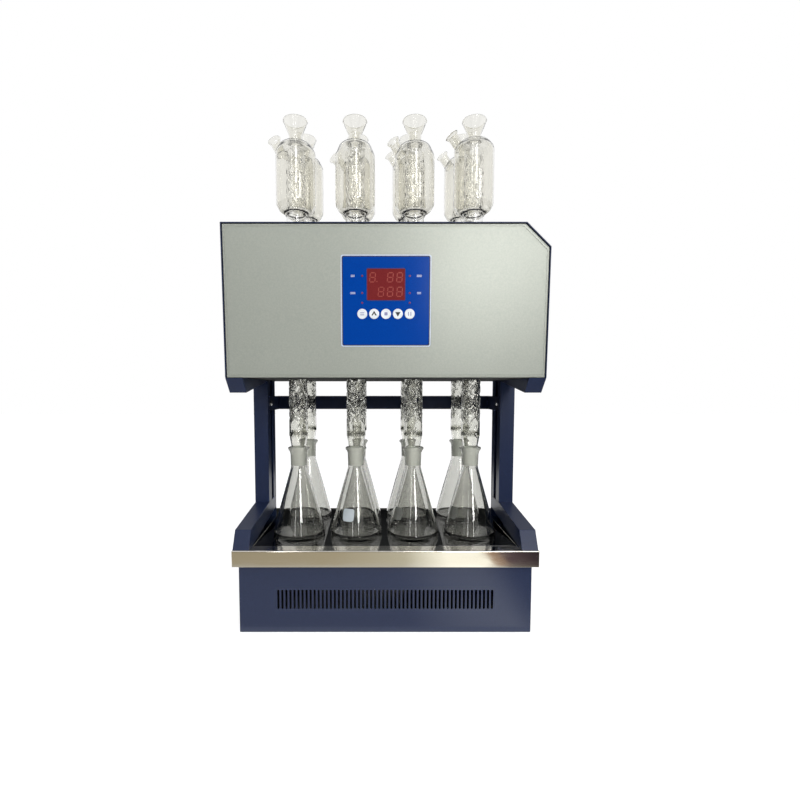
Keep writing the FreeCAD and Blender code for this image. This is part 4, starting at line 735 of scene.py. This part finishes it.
class DIGESTER_OT_controls(bpy.types.Operator):
    """Printed overlay with display window, lamps and keys, and the board behind them"""

    bl_idname = "digester.controls"
    bl_label = "Control panel"

    def execute(self, context):
        size = context.scene.digester_panel
        middle = (HEAD_TOP - HEAD_FOOT) / 2 / MM
        face = -0.6
        film = face + 0.78
        side = size.overlay_side
        bm = bmesh.new()
        slab(bm, round_box(0, middle, side, side, 3), face, film)
        self.frame_lines(bm, middle, (side - 0.1, side - 0.1), 1.5, film, film + 0.06, 1)
        # A dark line inside the rim: painted shade along the overlay's edge.
        self.frame_lines(bm, middle, (side - 3.1, side - 3.1), 1.3, film, film + 0.06, 2)
        window = (size.window_width + 2.2, size.window_height + 2.2)
        self.frame_lines(bm, middle + size.window_rise, window, 0.6, film, film + 0.04, 2)
        self.pictograms(bm, middle, film, film + 0.05)
        bmesh.ops.transform(bm, verts=bm.verts, matrix=lean_matrix())
        overlay = from_bmesh("overlay_printed", bm,
                             [FINISH["overlay"], FINISH["overlay_rim"], FINISH["overlay_line"], FINISH["mark"]])
        even(overlay)
        seat(overlay, "frame", "blue_overlay", "control_overlay")

        bm = bmesh.new()
        rise = middle + size.window_rise
        slab(bm, round_box(0, rise, size.window_width, size.window_height, 1), face, face + 1.1)
        self.digits(bm, rise, face + 1.1, face + 1.16)
        bmesh.ops.transform(bm, verts=bm.verts, matrix=lean_matrix())
        pane = from_bmesh("window_filter", bm, [FINISH["window"], FINISH["digit"]])
        seat(pane, "frame", "red_window", "display_window")

        self.lamps(middle, face)
        self.keys(size, middle, face)
        dress("control_board", FINISH["laminate"])
        dress("board_posts", FINISH["plated"])
        dress("display_module", FINISH["black_plastic"])
        dress("key_switches", FINISH["black_plastic"])
        return {"FINISHED"}

    def frame_lines(self, bm, middle, size, width, back, front, material):
        """A closed line round a rectangle: print, and painted shade along the overlay's edge."""
        outer = round_box(0, middle, size[0], size[1], 3)
        inner = round_box(0, middle, size[0] - 2 * width, size[1] - 2 * width, 2.4)
        loops = [[bm.verts.new((x * MM, -depth * MM, z * MM)) for x, z in outline]
                 for outline, depth in ((outer, back), (outer, front), (inner, front), (inner, back))]
        count = len(outer)
        for low, high in zip(loops, loops[1:] + loops[:1]):
            for k in range(count):
                n = (k + 1) % count
                bm.faces.new((low[k], low[n], high[n], high[k])).material_index = material

    def pictograms(self, bm, middle, back, front):
        """A small plain sign beside each of the upper lamps: two bars, longer or shorter."""
        for row, rise in enumerate(LAMP_RISES[:2]):
            for side in (-1, 1):
                length = 7.0 if (row + (side > 0)) % 2 else 5.4
                for up in (0.9, -0.9):
                    slab(bm, round_box(side * 45.5, middle + rise + up, length, 0.7, 0.3, 2), back, front, 3)

    def digits(self, bm, rise, back, front):
        """Seven-segment figures, dim behind the filter."""
        tall, wide, thick, slant = 12.2, 7.2, 1.3, 0.1
        for x, up in ((-18.4, 9.4), (5.8, 9.4), (18.6, 9.4), (-6.8, -9.8), (5.8, -9.8), (18.6, -9.8)):
            for name in "abcdefg":
                if name in "adg":
                    z = {"a": tall / 2, "g": 0.0, "d": -tall / 2}[name]
                    points = [(-wide / 2 + 0.7, 0), (-wide / 2 + 1.3, thick / 2), (wide / 2 - 1.3, thick / 2),
                              (wide / 2 - 0.7, 0), (wide / 2 - 1.3, -thick / 2), (-wide / 2 + 1.3, -thick / 2)]
                    points = [(px, pz + z) for px, pz in points]
                else:
                    sx = -1 if name in "ef" else 1
                    sz = 1 if name in "bf" else -1
                    length = tall / 2
                    points = [(0, length / 2 - 0.4), (thick / 2, length / 2 - 1.0), (thick / 2, -length / 2 + 1.0),
                              (0, -length / 2 + 0.4), (-thick / 2, -length / 2 + 1.0), (-thick / 2, length / 2 - 1.0)]
                    points = [(px + sx * wide / 2, pz + sz * length / 2) for px, pz in points]
                slab(bm, [(x + px + slant * pz, rise + up + pz) for px, pz in points], back, front, 1)
        slab(bm, round_box(-12.4, rise + 3.8, 1.5, 1.5, 0.7, 3), back, front, 1)

    def lamps(self, middle, face):
        """Six low domed lenses, in two columns."""
        bm = bmesh.new()
        for rise in LAMP_RISES:
            for side in (-1, 1):
                start = len(bm.verts)
                lathe(bm, rounded([(0, 0, 0), (1.5 * MM, 0, 0), (1.45 * MM, 0.35 * MM, 0.2 * MM),
                                   (0.8 * MM, 0.5 * MM, 0.4 * MM), (0, 0.5 * MM, 0)], 3), 24, closed=False)
                bm.verts.ensure_lookup_table()
                spot = on_panel(side * 32.6, middle + rise, face + 0.8)
                turn = Matrix.Rotation(LEAN, 4, "X") @ Matrix.Rotation(math.pi / 2, 4, "X")
                bmesh.ops.transform(bm, verts=bm.verts[start:], matrix=Matrix.Translation(spot) @ turn)
        lamps = from_bmesh("lamp_lenses", bm, [FINISH["lamp"]])
        seat(lamps, "frame", "lamp_lens", "indicator_lamps")

    def keys(self, size, middle, face):
        """Five dished caps on stems, each its own piece, since each one moves."""
        names = ("key_set", "key_up", "key_start", "key_down", "key_light")
        for step, name in enumerate(names):
            bm = bmesh.new()
            r = size.key_radius * MM
            back, front = -9.4 * MM, 3.18 * MM
            lathe(bm, rounded([(0, back, 0), (3 * MM, back, 0), (3 * MM, -0.1 * MM, 0), (r, -0.1 * MM, 0),
                               (r, front - 0.7 * MM, 0.0), (r - 0.25 * MM, front - 0.15 * MM, 0.5 * MM),
                               (r - 1.3 * MM, front - 0.02 * MM, 0.6 * MM), (r - 2.4 * MM, front - 0.25 * MM, 1 * MM),
                               (0, front - 0.3 * MM, 0)], 4), 48, closed=False)
            self.key_mark(bm, step, front - 0.28 * MM, front - 0.2 * MM)
            x = (step - 2) * size.key_pitch
            spot = on_panel(x, middle - size.key_drop, face)
            turn = Matrix.Rotation(LEAN, 4, "X") @ Matrix.Rotation(math.pi / 2, 4, "X")
            bmesh.ops.transform(bm, verts=bm.verts, matrix=Matrix.Translation(spot) @ turn)
            key = from_bmesh(name + "_cap", bm, [FINISH["key"], FINISH["key_ink"], FINISH["key_tint"]])
            seat(key, name, "white_keys", name)

    def key_mark(self, bm, step, low, high):
        """The sign printed on a key: arrows on the second and fourth, plain signs on the others."""
        shapes = {0: [round_box(0, 1.1, 4.6, 0.8, 0.3, 2), round_box(0, -1.1, 4.6, 0.8, 0.3, 2)],
                  1: [[(-3.0, -1.7), (-1.3, -1.7), (0, 0.7), (1.3, -1.7), (3.0, -1.7), (0, 3.2)]],
                  2: [round_box(0, 0, 3.4, 3.4, 0.4, 2)],
                  3: [[(-2.9, 1.9), (0, -3.0), (2.9, 1.9)]],
                  4: [round_box(-1.3, 0, 0.9, 4.2, 0.3, 2), round_box(1.3, 0, 0.9, 4.2, 0.3, 2)]}
        grown = 1.25 * MM
        for outline in shapes[step]:
            base, top = ([(x * grown, z * grown, level) for x, z in outline] for level in (low, high))
            prism(bm, base, top, 1 if step in (1, 3) else 2)


class DIGESTER_OT_rear(bpy.types.Operator):
    """Mains inlet, rocker switch and the two fans at the back"""

    bl_idname = "digester.rear"
    bl_label = "Rear fittings"

    def execute(self, context):
        dress("mains_inlet", FINISH["black_plastic"], 0.4)
        dress("switch_frame", FINISH["black_plastic"], 0.4)
        dress("power_rocker", FINISH["rocker"], 0.5)
        for side in ("left", "right"):
            dress(side + "_fan_frame", FINISH["black_plastic"], 0.3, 2)
            dress(side + "_fan_rotor", FINISH["black_plastic"])
        return {"FINISHED"}


class DIGESTER_OT_heating(bpy.types.Operator):
    """Heater pan, insulation, tiles and the electrical parts inside the base"""

    bl_idname = "digester.heating"
    bl_label = "Heating"

    def execute(self, context):
        for node, finish in (("heater_pan", "galvanised"), ("insulation_board", "fibre"), ("heater_tiles", "tile"),
                             ("temperature_probe", "plated"), ("power_relay", "black_plastic"),
                             ("terminal_block", "terminal")):
            dress(node, FINISH[finish])
        return {"FINISHED"}


def axis_of(node):
    """The axis of a turned node, across and deep, from the middle of its box."""
    low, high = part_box(node)
    return (low.x + high.x) / 2, (low.y + high.y) / 2


class DIGESTER_OT_flasks(bpy.types.Operator):
    """Eight blown conical flasks with ground sockets and beaded rims"""

    bl_idname = "digester.flasks"
    bl_label = "Flasks"

    def execute(self, context):
        size = context.scene.digester_glass
        for number in range(1, GLASS_COUNT + 1):
            self.make_flask(size, number)
        return {"FINISHED"}

    def outside(self, size, z):
        """Radius of a flask's side at a height, in mm."""
        return FLASK_NECK + (size.flask_radius - FLASK_NECK) * (FLASK_NECK_FOOT - z) / (FLASK_NECK_FOOT - FLASK_HEEL)

    def make_flask(self, size, number):
        """One flask: a hollow cone with a raised base, a rounded heel and a ground neck with a thick rim."""
        node = f"flask_{number}"
        x, y = axis_of(node)
        chance = random.Random(number)
        r, h, w = size.flask_radius, size.flask_height, size.wall
        heel = 5.0 + chance.uniform(-0.4, 0.4)
        outside = [(0, 1.3, 0), (18, 0.9, 20), (33, 0.05, 8), (r - 2.2, 0.6, 4), (r, heel, 6),
                   (FLASK_NECK, FLASK_NECK_FOOT, 16), (13.5, h - 11, 8), (14.6, h - 7, 5),
                   (17.0, h - 3.4, 2.5), (17.2, h - 1.3, 1.0), (16.2, h, 1.0), (12.6, h - 0.1, 0.5)]
        inside = [(12.1, h - 0.7, 0.5), (10.62, 113, 0.8), (10.5, 109, 12), (r - 1.5 * w, heel + 0.8, 5),
                  (r - 5.4, 3.2, 4), (18, 3.3, 20), (0, 3.6, 0)]
        profile = [(a * MM, b * MM) for a, b in rounded(outside + inside, 6)]
        low_joint, high_joint = 112.5 * MM, (h - 0.6) * MM
        bm = bmesh.new()
        oval_turn = 20 * chance.uniform(-0.12, 0.12)

        def wobble(angle, radius, z):
            """Makes the wide part a little oval, as blown glass is."""
            return radius * (1 + 0.004 * math.sin(2 * angle + oval_turn) * (radius > 20 * MM)), z

        lathe(bm, profile, size.segments, closed=False, shift=wobble)
        bm.faces.ensure_lookup_table()
        for face in bm.faces:
            centre = face.calc_center_median()
            radius = math.hypot(centre.x, centre.y)
            if low_joint < centre.z < high_joint and radius < 12.3 * MM:
                face.material_index = 1
        if number in (2, 3, 4):
            self.enamel(bm, size, number)
        bmesh.ops.translate(bm, verts=bm.verts, vec=(x, y, PLATE_TOP))
        flask = from_bmesh(f"conical_flask_{number}", bm, [FINISH["flask_glass"], FINISH["ground"],
                                                           FINISH["enamel_worn" if number > 2 else "enamel_patch"]],
                            40)
        seat(flask, node, "clear_glass", node)

    def enamel(self, bm, size, number):
        """The white patch fired on the side for pencil notes, a thin skin with rounded corners."""
        turn = {2: -0.34, 3: -0.90, 4: -1.13}[number]
        wide, tall, middle = 19.0, 19.0, 38.0
        columns, rows = 10, 10
        for level in (0.04, 0.22):
            grid = {}
            for i in range(columns + 1):
                for j in range(rows + 1):
                    u, v = 2 * i / columns - 1, 2 * j / rows - 1
                    squash = 1 - 0.13 * u ** 4 * v ** 4
                    z = middle + v * tall / 2 * squash
                    radius = self.outside(size, z) + level
                    angle = -math.pi / 2 + turn + u * squash * wide / 2 / radius
                    grid[i, j] = bm.verts.new((radius * MM * math.cos(angle), radius * MM * math.sin(angle), z * MM))
            if level < 0.1:
                back = grid
        for i in range(columns):
            for j in range(rows):
                bm.faces.new((grid[i, j], grid[i + 1, j], grid[i + 1, j + 1], grid[i, j + 1])).material_index = 2
                bm.faces.new((back[i, j], back[i, j + 1], back[i + 1, j + 1], back[i + 1, j])).material_index = 2
        rim = ([(i, 0) for i in range(columns)] + [(columns, j) for j in range(rows)]
               + [(i, rows) for i in range(columns, 0, -1)] + [(0, j) for j in range(rows, 0, -1)])
        for a, b in zip(rim, rim[1:] + rim[:1]):
            bm.faces.new((grid[a], back[a], back[b], grid[b])).material_index = 2


class DIGESTER_OT_condensers(bpy.types.Operator):
    """Eight blown condensers: ground cone, pointed tube, water bulb, filling arm and funnel"""

    bl_idname = "digester.condensers"
    bl_label = "Condensers"

    def execute(self, context):
        size = context.scene.digester_glass
        for number in range(1, GLASS_COUNT + 1):
            self.make_condenser(size, number)
        return {"FINISHED"}

    def dents(self, chance, start, stop, pitch, radius):
        """Points pressed into the tube: height, angle, depth and slant, in mm and radians."""
        places = []
        z, turn, lean = start, chance.uniform(0, 2), 1
        while z < stop:
            for k in range(5):
                lean = -lean
                places.append((z + chance.uniform(-1.5, 1.5), turn + k * math.pi * 0.4 + chance.uniform(-0.25, 0.25),
                               radius * chance.uniform(0.6, 1.0), lean * chance.uniform(0.45, 0.85)))
            turn += math.pi / 5
            z += pitch
        return places

    def make_condenser(self, size, number):
        """One condenser in one blown piece. Heights are in mm above the plate, and top is the funnel's rim."""
        node = f"condenser_{number}"
        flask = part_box(f"flask_{number}")
        x, y = (flask[0].x + flask[1].x) / 2, (flask[0].y + flask[1].y) / 2
        top = (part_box(node)[1].z - PLATE_TOP) / MM
        chance = random.Random(40 + number)
        w, thin, tube, bulb = 1.7, 1.1, size.tube_radius, size.bulb_radius
        stem = top - {1: 33, 2: 33, 3: 35, 4: 30}.get(number, 33)
        shoulder = stem - {1: 16, 2: 21, 3: 20, 4: 14}.get(number, 18)
        foot, rise = top - 129.0, top - 145.0
        dent_list = (self.dents(chance, 188, 266, 5.4, size.dent_depth)
                     + [(chance.uniform(166, 180), chance.uniform(-2.2, -0.9), 1.5, 0.3) for _ in range(4)]
                     + self.dents(chance, rise + 9, stem - 22, 8.0, size.dent_depth * 0.75))
        near = {}

        def press(angle, radius, z):
            """Moves a point of the tube's wall in and down where a dent is."""
            r_mm, z_mm = radius / MM, z / MM
            if r_mm > tube + 0.2 or not (160 < z_mm < 274 or rise < z_mm < stem - 10):
                return radius, z
            if z not in near:
                near[z] = [dent for dent in dent_list if abs(z_mm - dent[0]) < 8]
            for zc, turn, depth, slant in near[z]:
                up = z / MM - zc
                across = ((angle - turn + math.pi) % (2 * math.pi) - math.pi) * tube
                along = up * math.cos(slant) + across * math.sin(slant)
                aside = across * math.cos(slant) - up * math.sin(slant)
                weight = math.exp(-(along ** 2 / (2 * 3.4 ** 2) + aside ** 2 / (2 * 1.1 ** 2)))
                r_mm -= depth * weight
                z_mm -= 0.3 * depth * weight
            return max(r_mm, 1.5) * MM, z_mm * MM

        def fine(start, stop, radius, step=1.1):
            """Points close enough together for the dents to show."""
            count = max(1, int(abs(stop - start) / step))
            return [(radius, start + (stop - start) * k / count, 0) for k in range(1, count)]

        outside = [(9.0, 114.2, 0), (10.3, 114.2, 0.4), (10.6, 115.0, 0.4), (12.0, 143.0, 0), (12.3, 146.5, 4),
                   (14.2, 158, 12), (tube, 172, 10)]
        neck = 10.4 + chance.uniform(-0.3, 0.5)
        outside += fine(160, 274, tube) + [(tube, 300, 0), (tube, rise - 4, 0), (tube + 0.3, rise - 1.5, 1),
                                           (tube + 1.9, rise, 1.2), (tube + 3.2, rise + 2.4, 2),
                                           (bulb - 4.2, rise + 8.6, 9), (bulb, foot, 9),
                                           (bulb + 0.2, (foot + shoulder) / 2, 60), (bulb, shoulder, 10),
                                           (bulb - 6.5, stem - 5.2, 9), (neck + 1.4, stem - 0.6, 3),
                                           (neck, stem + 3, 2), (neck, top - 21, 3), (18.2, top - 2.6, 0.5),
                                           (19.1, top - 1.4, 0.6), (18.9, top, 0.6), (17.4, top, 0.6)]
        inside = [(16.8, top - 2.0, 0.8), (neck - 1.7, top - 21.4, 3), (neck - 1.8, stem + 1, 2), (5.4, stem - 4, 2),
                  (5.4, stem - 7.5, 2), (tube - thin, stem - 15, 8)]
        inside += fine(stem - 17, rise + 2, tube - thin) + [(tube - w, rise - 4, 0), (tube - w, 300, 0)]
        inside += fine(274, 174, tube - w) + [(tube - w, 172, 10), (12.5, 158, 12), (10.6, 147, 4),
                                              (10.2, 142, 8), (8.9, 116, 1), (8.9, 114.4, 0.3)]
        profile = [(a * MM, b * MM) for a, b in rounded(outside + inside, 4)]
        bm = bmesh.new()
        lathe(bm, profile, size.segments, shift=press)
        bmesh.ops.recalc_face_normals(bm, faces=bm.faces)
        solid_faces = len(bm.faces)
        jacket = [(tube, rise + 5, 2)] + fine(rise + 6, stem - 17, tube)
        jacket += [(tube, stem - 15.4, 6), (7.0, stem - 8.6, 2), (7.0, stem - 4.4, 1.5),
                   (neck - 0.6, stem - 2.6, 1.5),
                   (bulb - 8.0, stem - 7.0, 8), (bulb - w, shoulder - 0.5, 9),
                   (bulb - w + 0.2, (foot + shoulder) / 2, 60), (bulb - w, foot + 0.3, 8),
                   (bulb - 5.6, rise + 9.8, 8), (tube + 3.0, rise + 5, 2)]
        cavity = [(a * MM, b * MM) for a, b in rounded(jacket, 4)]
        lathe(bm, cavity, size.segments, shift=press)
        bm.faces.ensure_lookup_table()
        hollow = bm.faces[solid_faces:]
        bmesh.ops.recalc_face_normals(bm, faces=hollow)
        bmesh.ops.reverse_faces(bm, faces=hollow)
        for face in bm.faces:
            centre = face.calc_center_median()
            radius = math.hypot(centre.x, centre.y)
            if 115.2 * MM < centre.z < 143 * MM and radius > 9.9 * MM:
                face.material_index = 1
            elif centre.z > rise * MM and (radius > (tube + 1.5) * MM or centre.z > (stem - 4) * MM):
                face.material_index = 2
        self.filling_arm(bm, number, stem)
        turned = {1: 0, 2: -90, 3: -8, 4: 4, 5: 6, 6: -5, 7: 3, 8: -4}[number]
        place = Matrix.Translation((x, y, PLATE_TOP)) @ Matrix.Rotation(math.radians(turned), 4, "Z")
        bmesh.ops.transform(bm, verts=bm.verts, matrix=place)
        mesh = bpy.data.meshes.new(node)
        bm.to_mesh(mesh)
        bm.free()
        thing = make_object(f"blown_condenser_{number}", mesh,
                            [FINISH["tube_glass"], FINISH["ground"], FINISH["bulb_glass"]], 50)
        seat(thing, node, "clear_glass", node)

    def filling_arm(self, bm, number, stem):
        """The short leaning tube on the bulb's shoulder, flared at its mouth and at its weld."""
        # Blown by hand, so some differ: tilt, length, how far out the foot is, and how far below the stem.
        tilt, length, out, drop = {1: (27, 20.4, 24, 14), 3: (29, 20.4, 24, 11), 4: (37, 20.4, 24, 9),
                                   6: (42, 24.0, 27, 14)}.get(number, (33, 20.4, 24, 11))
        start = len(bm.verts)
        profile = [(9.4, -4.4, 0), (8.5, -1.5, 3), (8.0, 2, 4), (8.0, length - 5, 4), (10.2, length - 1.4, 2),
                   (10.6, length - 0.3, 0.5), (10.0, length, 0.4), (8.6, length - 1.6, 2), (6.4, length - 5, 4),
                   (6.4, 2, 3), (6.9, -2.4, 2), (7.6, -4.4, 0)]
        points = [(a * MM, b * MM) for a, b in rounded(profile, 4)]
        known = len(bm.faces)
        lathe(bm, points, 48)
        bm.faces.ensure_lookup_table()
        bmesh.ops.recalc_face_normals(bm, faces=bm.faces[known:])
        bm.verts.ensure_lookup_table()
        bm.faces.ensure_lookup_table()
        for face in bm.faces[known:]:
            face.material_index = 2
        foot = Vector((-out * MM, 0, (stem - drop) * MM))
        place = Matrix.Translation(foot) @ Matrix.Rotation(-math.radians(tilt), 4, "Y")
        bmesh.ops.transform(bm, verts=bm.verts[start:], matrix=place)


def lying(left, right, near, far):
    """Corners of a card that lies on the floor."""
    return [(left, near, CARD_RISE), (right, near, CARD_RISE), (right, far, CARD_RISE), (left, far, CARD_RISE)]


def standing(start, stop, height):
    """Corners of a card that stands on the floor from one point to another."""
    return [start + (0.0,), stop + (0.0,), stop + (height,), start + (height,)]


def shown_directly(tree, ray):
    """1 for rays from the camera, from a mirror or through glass, else 0."""
    first = add_node(tree, "ShaderNodeMath", {"operation": "MAXIMUM"},
                     {0: ray.outputs["Is Camera Ray"], 1: ray.outputs["Is Transmission Ray"]})
    both = add_node(tree, "ShaderNodeMath", {"operation": "MAXIMUM"},
                    {0: first.outputs[0], 1: ray.outputs["Is Glossy Ray"]})
    return both.outputs[0]


class DIGESTER_OT_stage(bpy.types.Operator):
    """Pale floor, soft studio light and the camera of the reference view"""

    bl_idname = "digester.stage"
    bl_label = "Stage"

    def execute(self, context):
        scene = context.scene
        size = scene.digester_stage
        self.world(scene, size)
        self.floor()
        self.lamp("window_right", (1.05, -1.9, 1.3), (0.1, -0.12, 0.5), 0.45, 0.7, size.key)
        self.lamp("window_front", (0.62, -2.25, 0.92), (0.05, 0.0, 0.4), 0.44, 0.56, size.front)
        self.lamp("window_high", (0.3, -2.3, 1.85), (0.0, 0.0, 0.7), 0.26, 0.5, size.strip)
        self.lamp("strip_left", (-0.62, -2.3, 1.1), (-0.05, 0.0, 0.5), 0.1, 2.2, size.strip)
        self.lamp("strip_right", (0.5, -2.3, 1.1), (0.05, 0.0, 0.5), 0.1, 2.2, size.strip)
        # Bright and dark strips of the bench, then the dark room in front of, beside and behind the object.
        self.card("near_card", lying(-1.2, 1.4, -0.37, -0.115),
                  [(-0.4, "#C4C2BA", 1.0), (0.04, "#D6D4CC", 1.0), (0.13, "#FFFFF8", 1.5), (0.2, "#FFFFF8", 1.7),
                   (0.26, "#8C8880", 1.0), (0.4, "#605C58", 1.0)], "X")
        self.card("lip_card", lying(-1.2, 1.4, -0.8, -0.37),
                  [(-0.4, "#AEA48C", 1.0), (-0.1, "#BBB198", 1.0), (0.05, "#D2CDB8", 1.0), (0.14, "#FFFDF0", 1.4),
                   (0.228, "#FFFDF0", 1.4), (0.236, "#BC9C80", 1.0), (0.262, "#A08878", 1.0),
                   (0.268, "#66565A", 1.0), (0.34, "#3E3438", 1.0)], "X")
        self.card("bench_card", lying(-3.0, 3.0, -3.2, -0.8),
                  [(-3.2, "#1A1C20", 1.0), (-1.3, "#2A2C2E", 1.0), (-0.8, "#6E6A60", 1.0)], "Y")
        self.card("front_flag", standing((-3.0, -3.2), (3.0, -3.2), 1.7),
                  [(0.0, "#15181C", 1.0), (1.1, "#1E2226", 1.0), (1.7, "#8A8E90", 1.0)], "Z")
        for side in (-1, 1):
            self.card(f"side_flag_{side}", standing((side * 1.1, -1.4), (side * 1.1, 1.2), 0.66),
                      [(0.0, "#202427", 1.0), (0.5, "#2A2E31", 1.0), (0.66, "#FFFFFF", 1.0)], "Z", through=True)
        self.card("room_card", standing((-1.5, 1.2), (1.5, 1.2), 0.9),
                  [(0.0, "#060708", 1.0), (0.4, "#0A0B0C", 1.0), (0.5, "#3A3C3C", 1.0), (0.9, "#77797A", 1.0)],
                  "Z")
        self.camera(scene)
        scene.view_settings.view_transform = "Standard"
        scene.cycles.max_bounces = 32
        scene.cycles.transmission_bounces = 32
        scene.cycles.transparent_max_bounces = 24
        return {"FINISHED"}

    def world(self, scene, size):
        """White to the eye, in mirrors and through glass; softer where it lights the object."""
        world = bpy.data.worlds.new("studio")
        world.use_nodes = True
        tree = world.node_tree
        tree.nodes.clear()
        ray = add_node(tree, "ShaderNodeLightPath")
        lighting = add_node(tree, "ShaderNodeBackground", inputs={"Color": linear("#F4F5F7"), "Strength": size.fill})
        white = add_node(tree, "ShaderNodeBackground", inputs={"Color": (1, 1, 1, 1), "Strength": 1.0})
        last = add_node(tree, "ShaderNodeMixShader", inputs={"Fac": shown_directly(tree, ray), 1: lighting.outputs[0],
                                                             2: white.outputs[0]})
        add_node(tree, "ShaderNodeOutputWorld", inputs={"Surface": last.outputs[0]})
        scene.world = world

    def floor(self):
        """A floor that is as white as the backdrop but keeps a soft shadow."""
        bm = bmesh.new()
        half = 6.0
        corners = ((-half, -half), (half, -half), (half, half), (-half, half))
        bm.faces.new([bm.verts.new((x, y, 0)) for x, y in corners])
        material, tree, shader = new_material("stage_floor", Roughness=0.9)
        shader.inputs["Base Color"].default_value = linear("#F0F0EE")
        shader.inputs["Specular IOR Level"].default_value = 0.0
        ray = add_node(tree, "ShaderNodeLightPath")
        glow = add_node(tree, "ShaderNodeMath", {"operation": "MULTIPLY"}, {0: shown_directly(tree, ray), 1: 0.72})
        shader.inputs["Emission Color"].default_value = (1, 1, 1, 1)
        feed(tree, glow.outputs[0], shader, "Emission Strength")
        from_bmesh("floor", bm, [material])

    def card(self, name, corners, tones, axis, through=False):
        """A card that only gloss and, if through, glass show. Its tones run along one axis."""
        bm = bmesh.new()
        bm.faces.new([bm.verts.new(point) for point in corners])
        material = bpy.data.materials.new(name)
        material.use_nodes = True
        tree = material.node_tree
        tree.nodes.clear()
        spot = add_node(tree, "ShaderNodeNewGeometry")
        parts = add_node(tree, "ShaderNodeSeparateXYZ", inputs={"Vector": spot.outputs["Position"]})
        low, high = tones[0][0], tones[-1][0]
        along = between(tree, parts.outputs[axis], 0.0, 1.0, low, high)
        ramp = add_node(tree, "ShaderNodeValToRGB", inputs={"Fac": along})
        for k, (at, code, strength) in enumerate(tones):
            place = (at - low) / (high - low)
            stop = ramp.color_ramp.elements[k] if k < 2 else ramp.color_ramp.elements.new(place)
            stop.position = place
            stop.color = tuple(c * strength for c in linear(code)[:3]) + (1.0,)
        glow = add_node(tree, "ShaderNodeEmission", inputs={"Color": ramp.outputs["Color"], "Strength": 1.0})
        add_node(tree, "ShaderNodeOutputMaterial", inputs={"Surface": glow.outputs[0]})
        card = from_bmesh(name, bm, [material])
        card.visible_camera = False
        card.visible_diffuse = False
        card.visible_transmission = through
        card.visible_shadow = False

    def lamp(self, name, place, aim, width, height, watts):
        """A rectangular soft lamp turned to a point, and not seen itself."""
        data = bpy.data.lights.new(name, "AREA")
        data.shape = "RECTANGLE"
        data.size = width
        data.size_y = height
        data.energy = watts
        data.color = linear("#FFFEFC")[:3]
        thing = bpy.data.objects.new(name, data)
        thing.location = place
        thing.rotation_euler = (Vector(aim) - Vector(place)).to_track_quat("-Z", "Y").to_euler()
        thing.visible_camera = False
        bpy.context.scene.collection.objects.link(thing)

    def camera(self, scene):
        """The reference view: a wide lens close to the front, a little below mid-height and tipped down."""
        data = bpy.data.cameras.new("camera")
        data.sensor_width = 36
        data.lens = 20.147
        data.shift_x = 0.0290
        data.shift_y = 0.0229
        data.clip_start = 0.02
        data.clip_end = 60
        thing = bpy.data.objects.new("camera", data)
        thing.location = (-12.6 * MM, TRAY_FRONT - 642.3 * MM, PLATE_TOP + 235.3 * MM)
        thing.rotation_euler = (math.radians(90 - 3.6), 0, 0)
        scene.collection.objects.link(thing)
        scene.camera = thing


class DIGESTER_PT_panel(bpy.types.Panel):
    """Lists the pieces and their settings"""

    bl_idname = "DIGESTER_PT_panel"
    bl_label = "Block Digester"
    bl_space_type = "VIEW_3D"
    bl_region_type = "UI"
    bl_category = "Digester"

    def draw(self, context):
        for group in ("digester_glass", "digester_panel", "digester_stage"):
            box = self.layout.box()
            for name in settings(group).bl_rna.properties.keys():
                if name not in ("rna_type", "name"):
                    box.prop(settings(group), name)
        for operator in STEPS:
            self.layout.operator(operator.bl_idname)


GROUPS = {"digester_glass": DigesterGlassSettings, "digester_panel": DigesterPanelSettings,
          "digester_stage": DigesterStageSettings}
STEPS = (DIGESTER_OT_stage, DIGESTER_OT_cabinet, DIGESTER_OT_tray, DIGESTER_OT_side_frames, DIGESTER_OT_head,
         DIGESTER_OT_controls, DIGESTER_OT_rear, DIGESTER_OT_heating, DIGESTER_OT_flasks, DIGESTER_OT_condensers)


def register():
    """Adds the settings, operators and panel to Blender."""
    for name, group in GROUPS.items():
        bpy.utils.register_class(group)
        setattr(bpy.types.Scene, name, bpy.props.PointerProperty(type=group))
    for cls in STEPS + (DIGESTER_PT_panel,):
        bpy.utils.register_class(cls)


def unregister():
    """Takes away what register added."""
    for cls in reversed(STEPS + (DIGESTER_PT_panel,)):
        bpy.utils.unregister_class(cls)
    for name, group in GROUPS.items():
        delattr(bpy.types.Scene, name)
        bpy.utils.unregister_class(group)


def main():
    """Builds everything in order."""
    register()
    make_finishes()
    for step in STEPS:
        family, name = step.bl_idname.split(".")
        getattr(getattr(bpy.ops, family), name)()


if __name__ == "__main__":
    main()
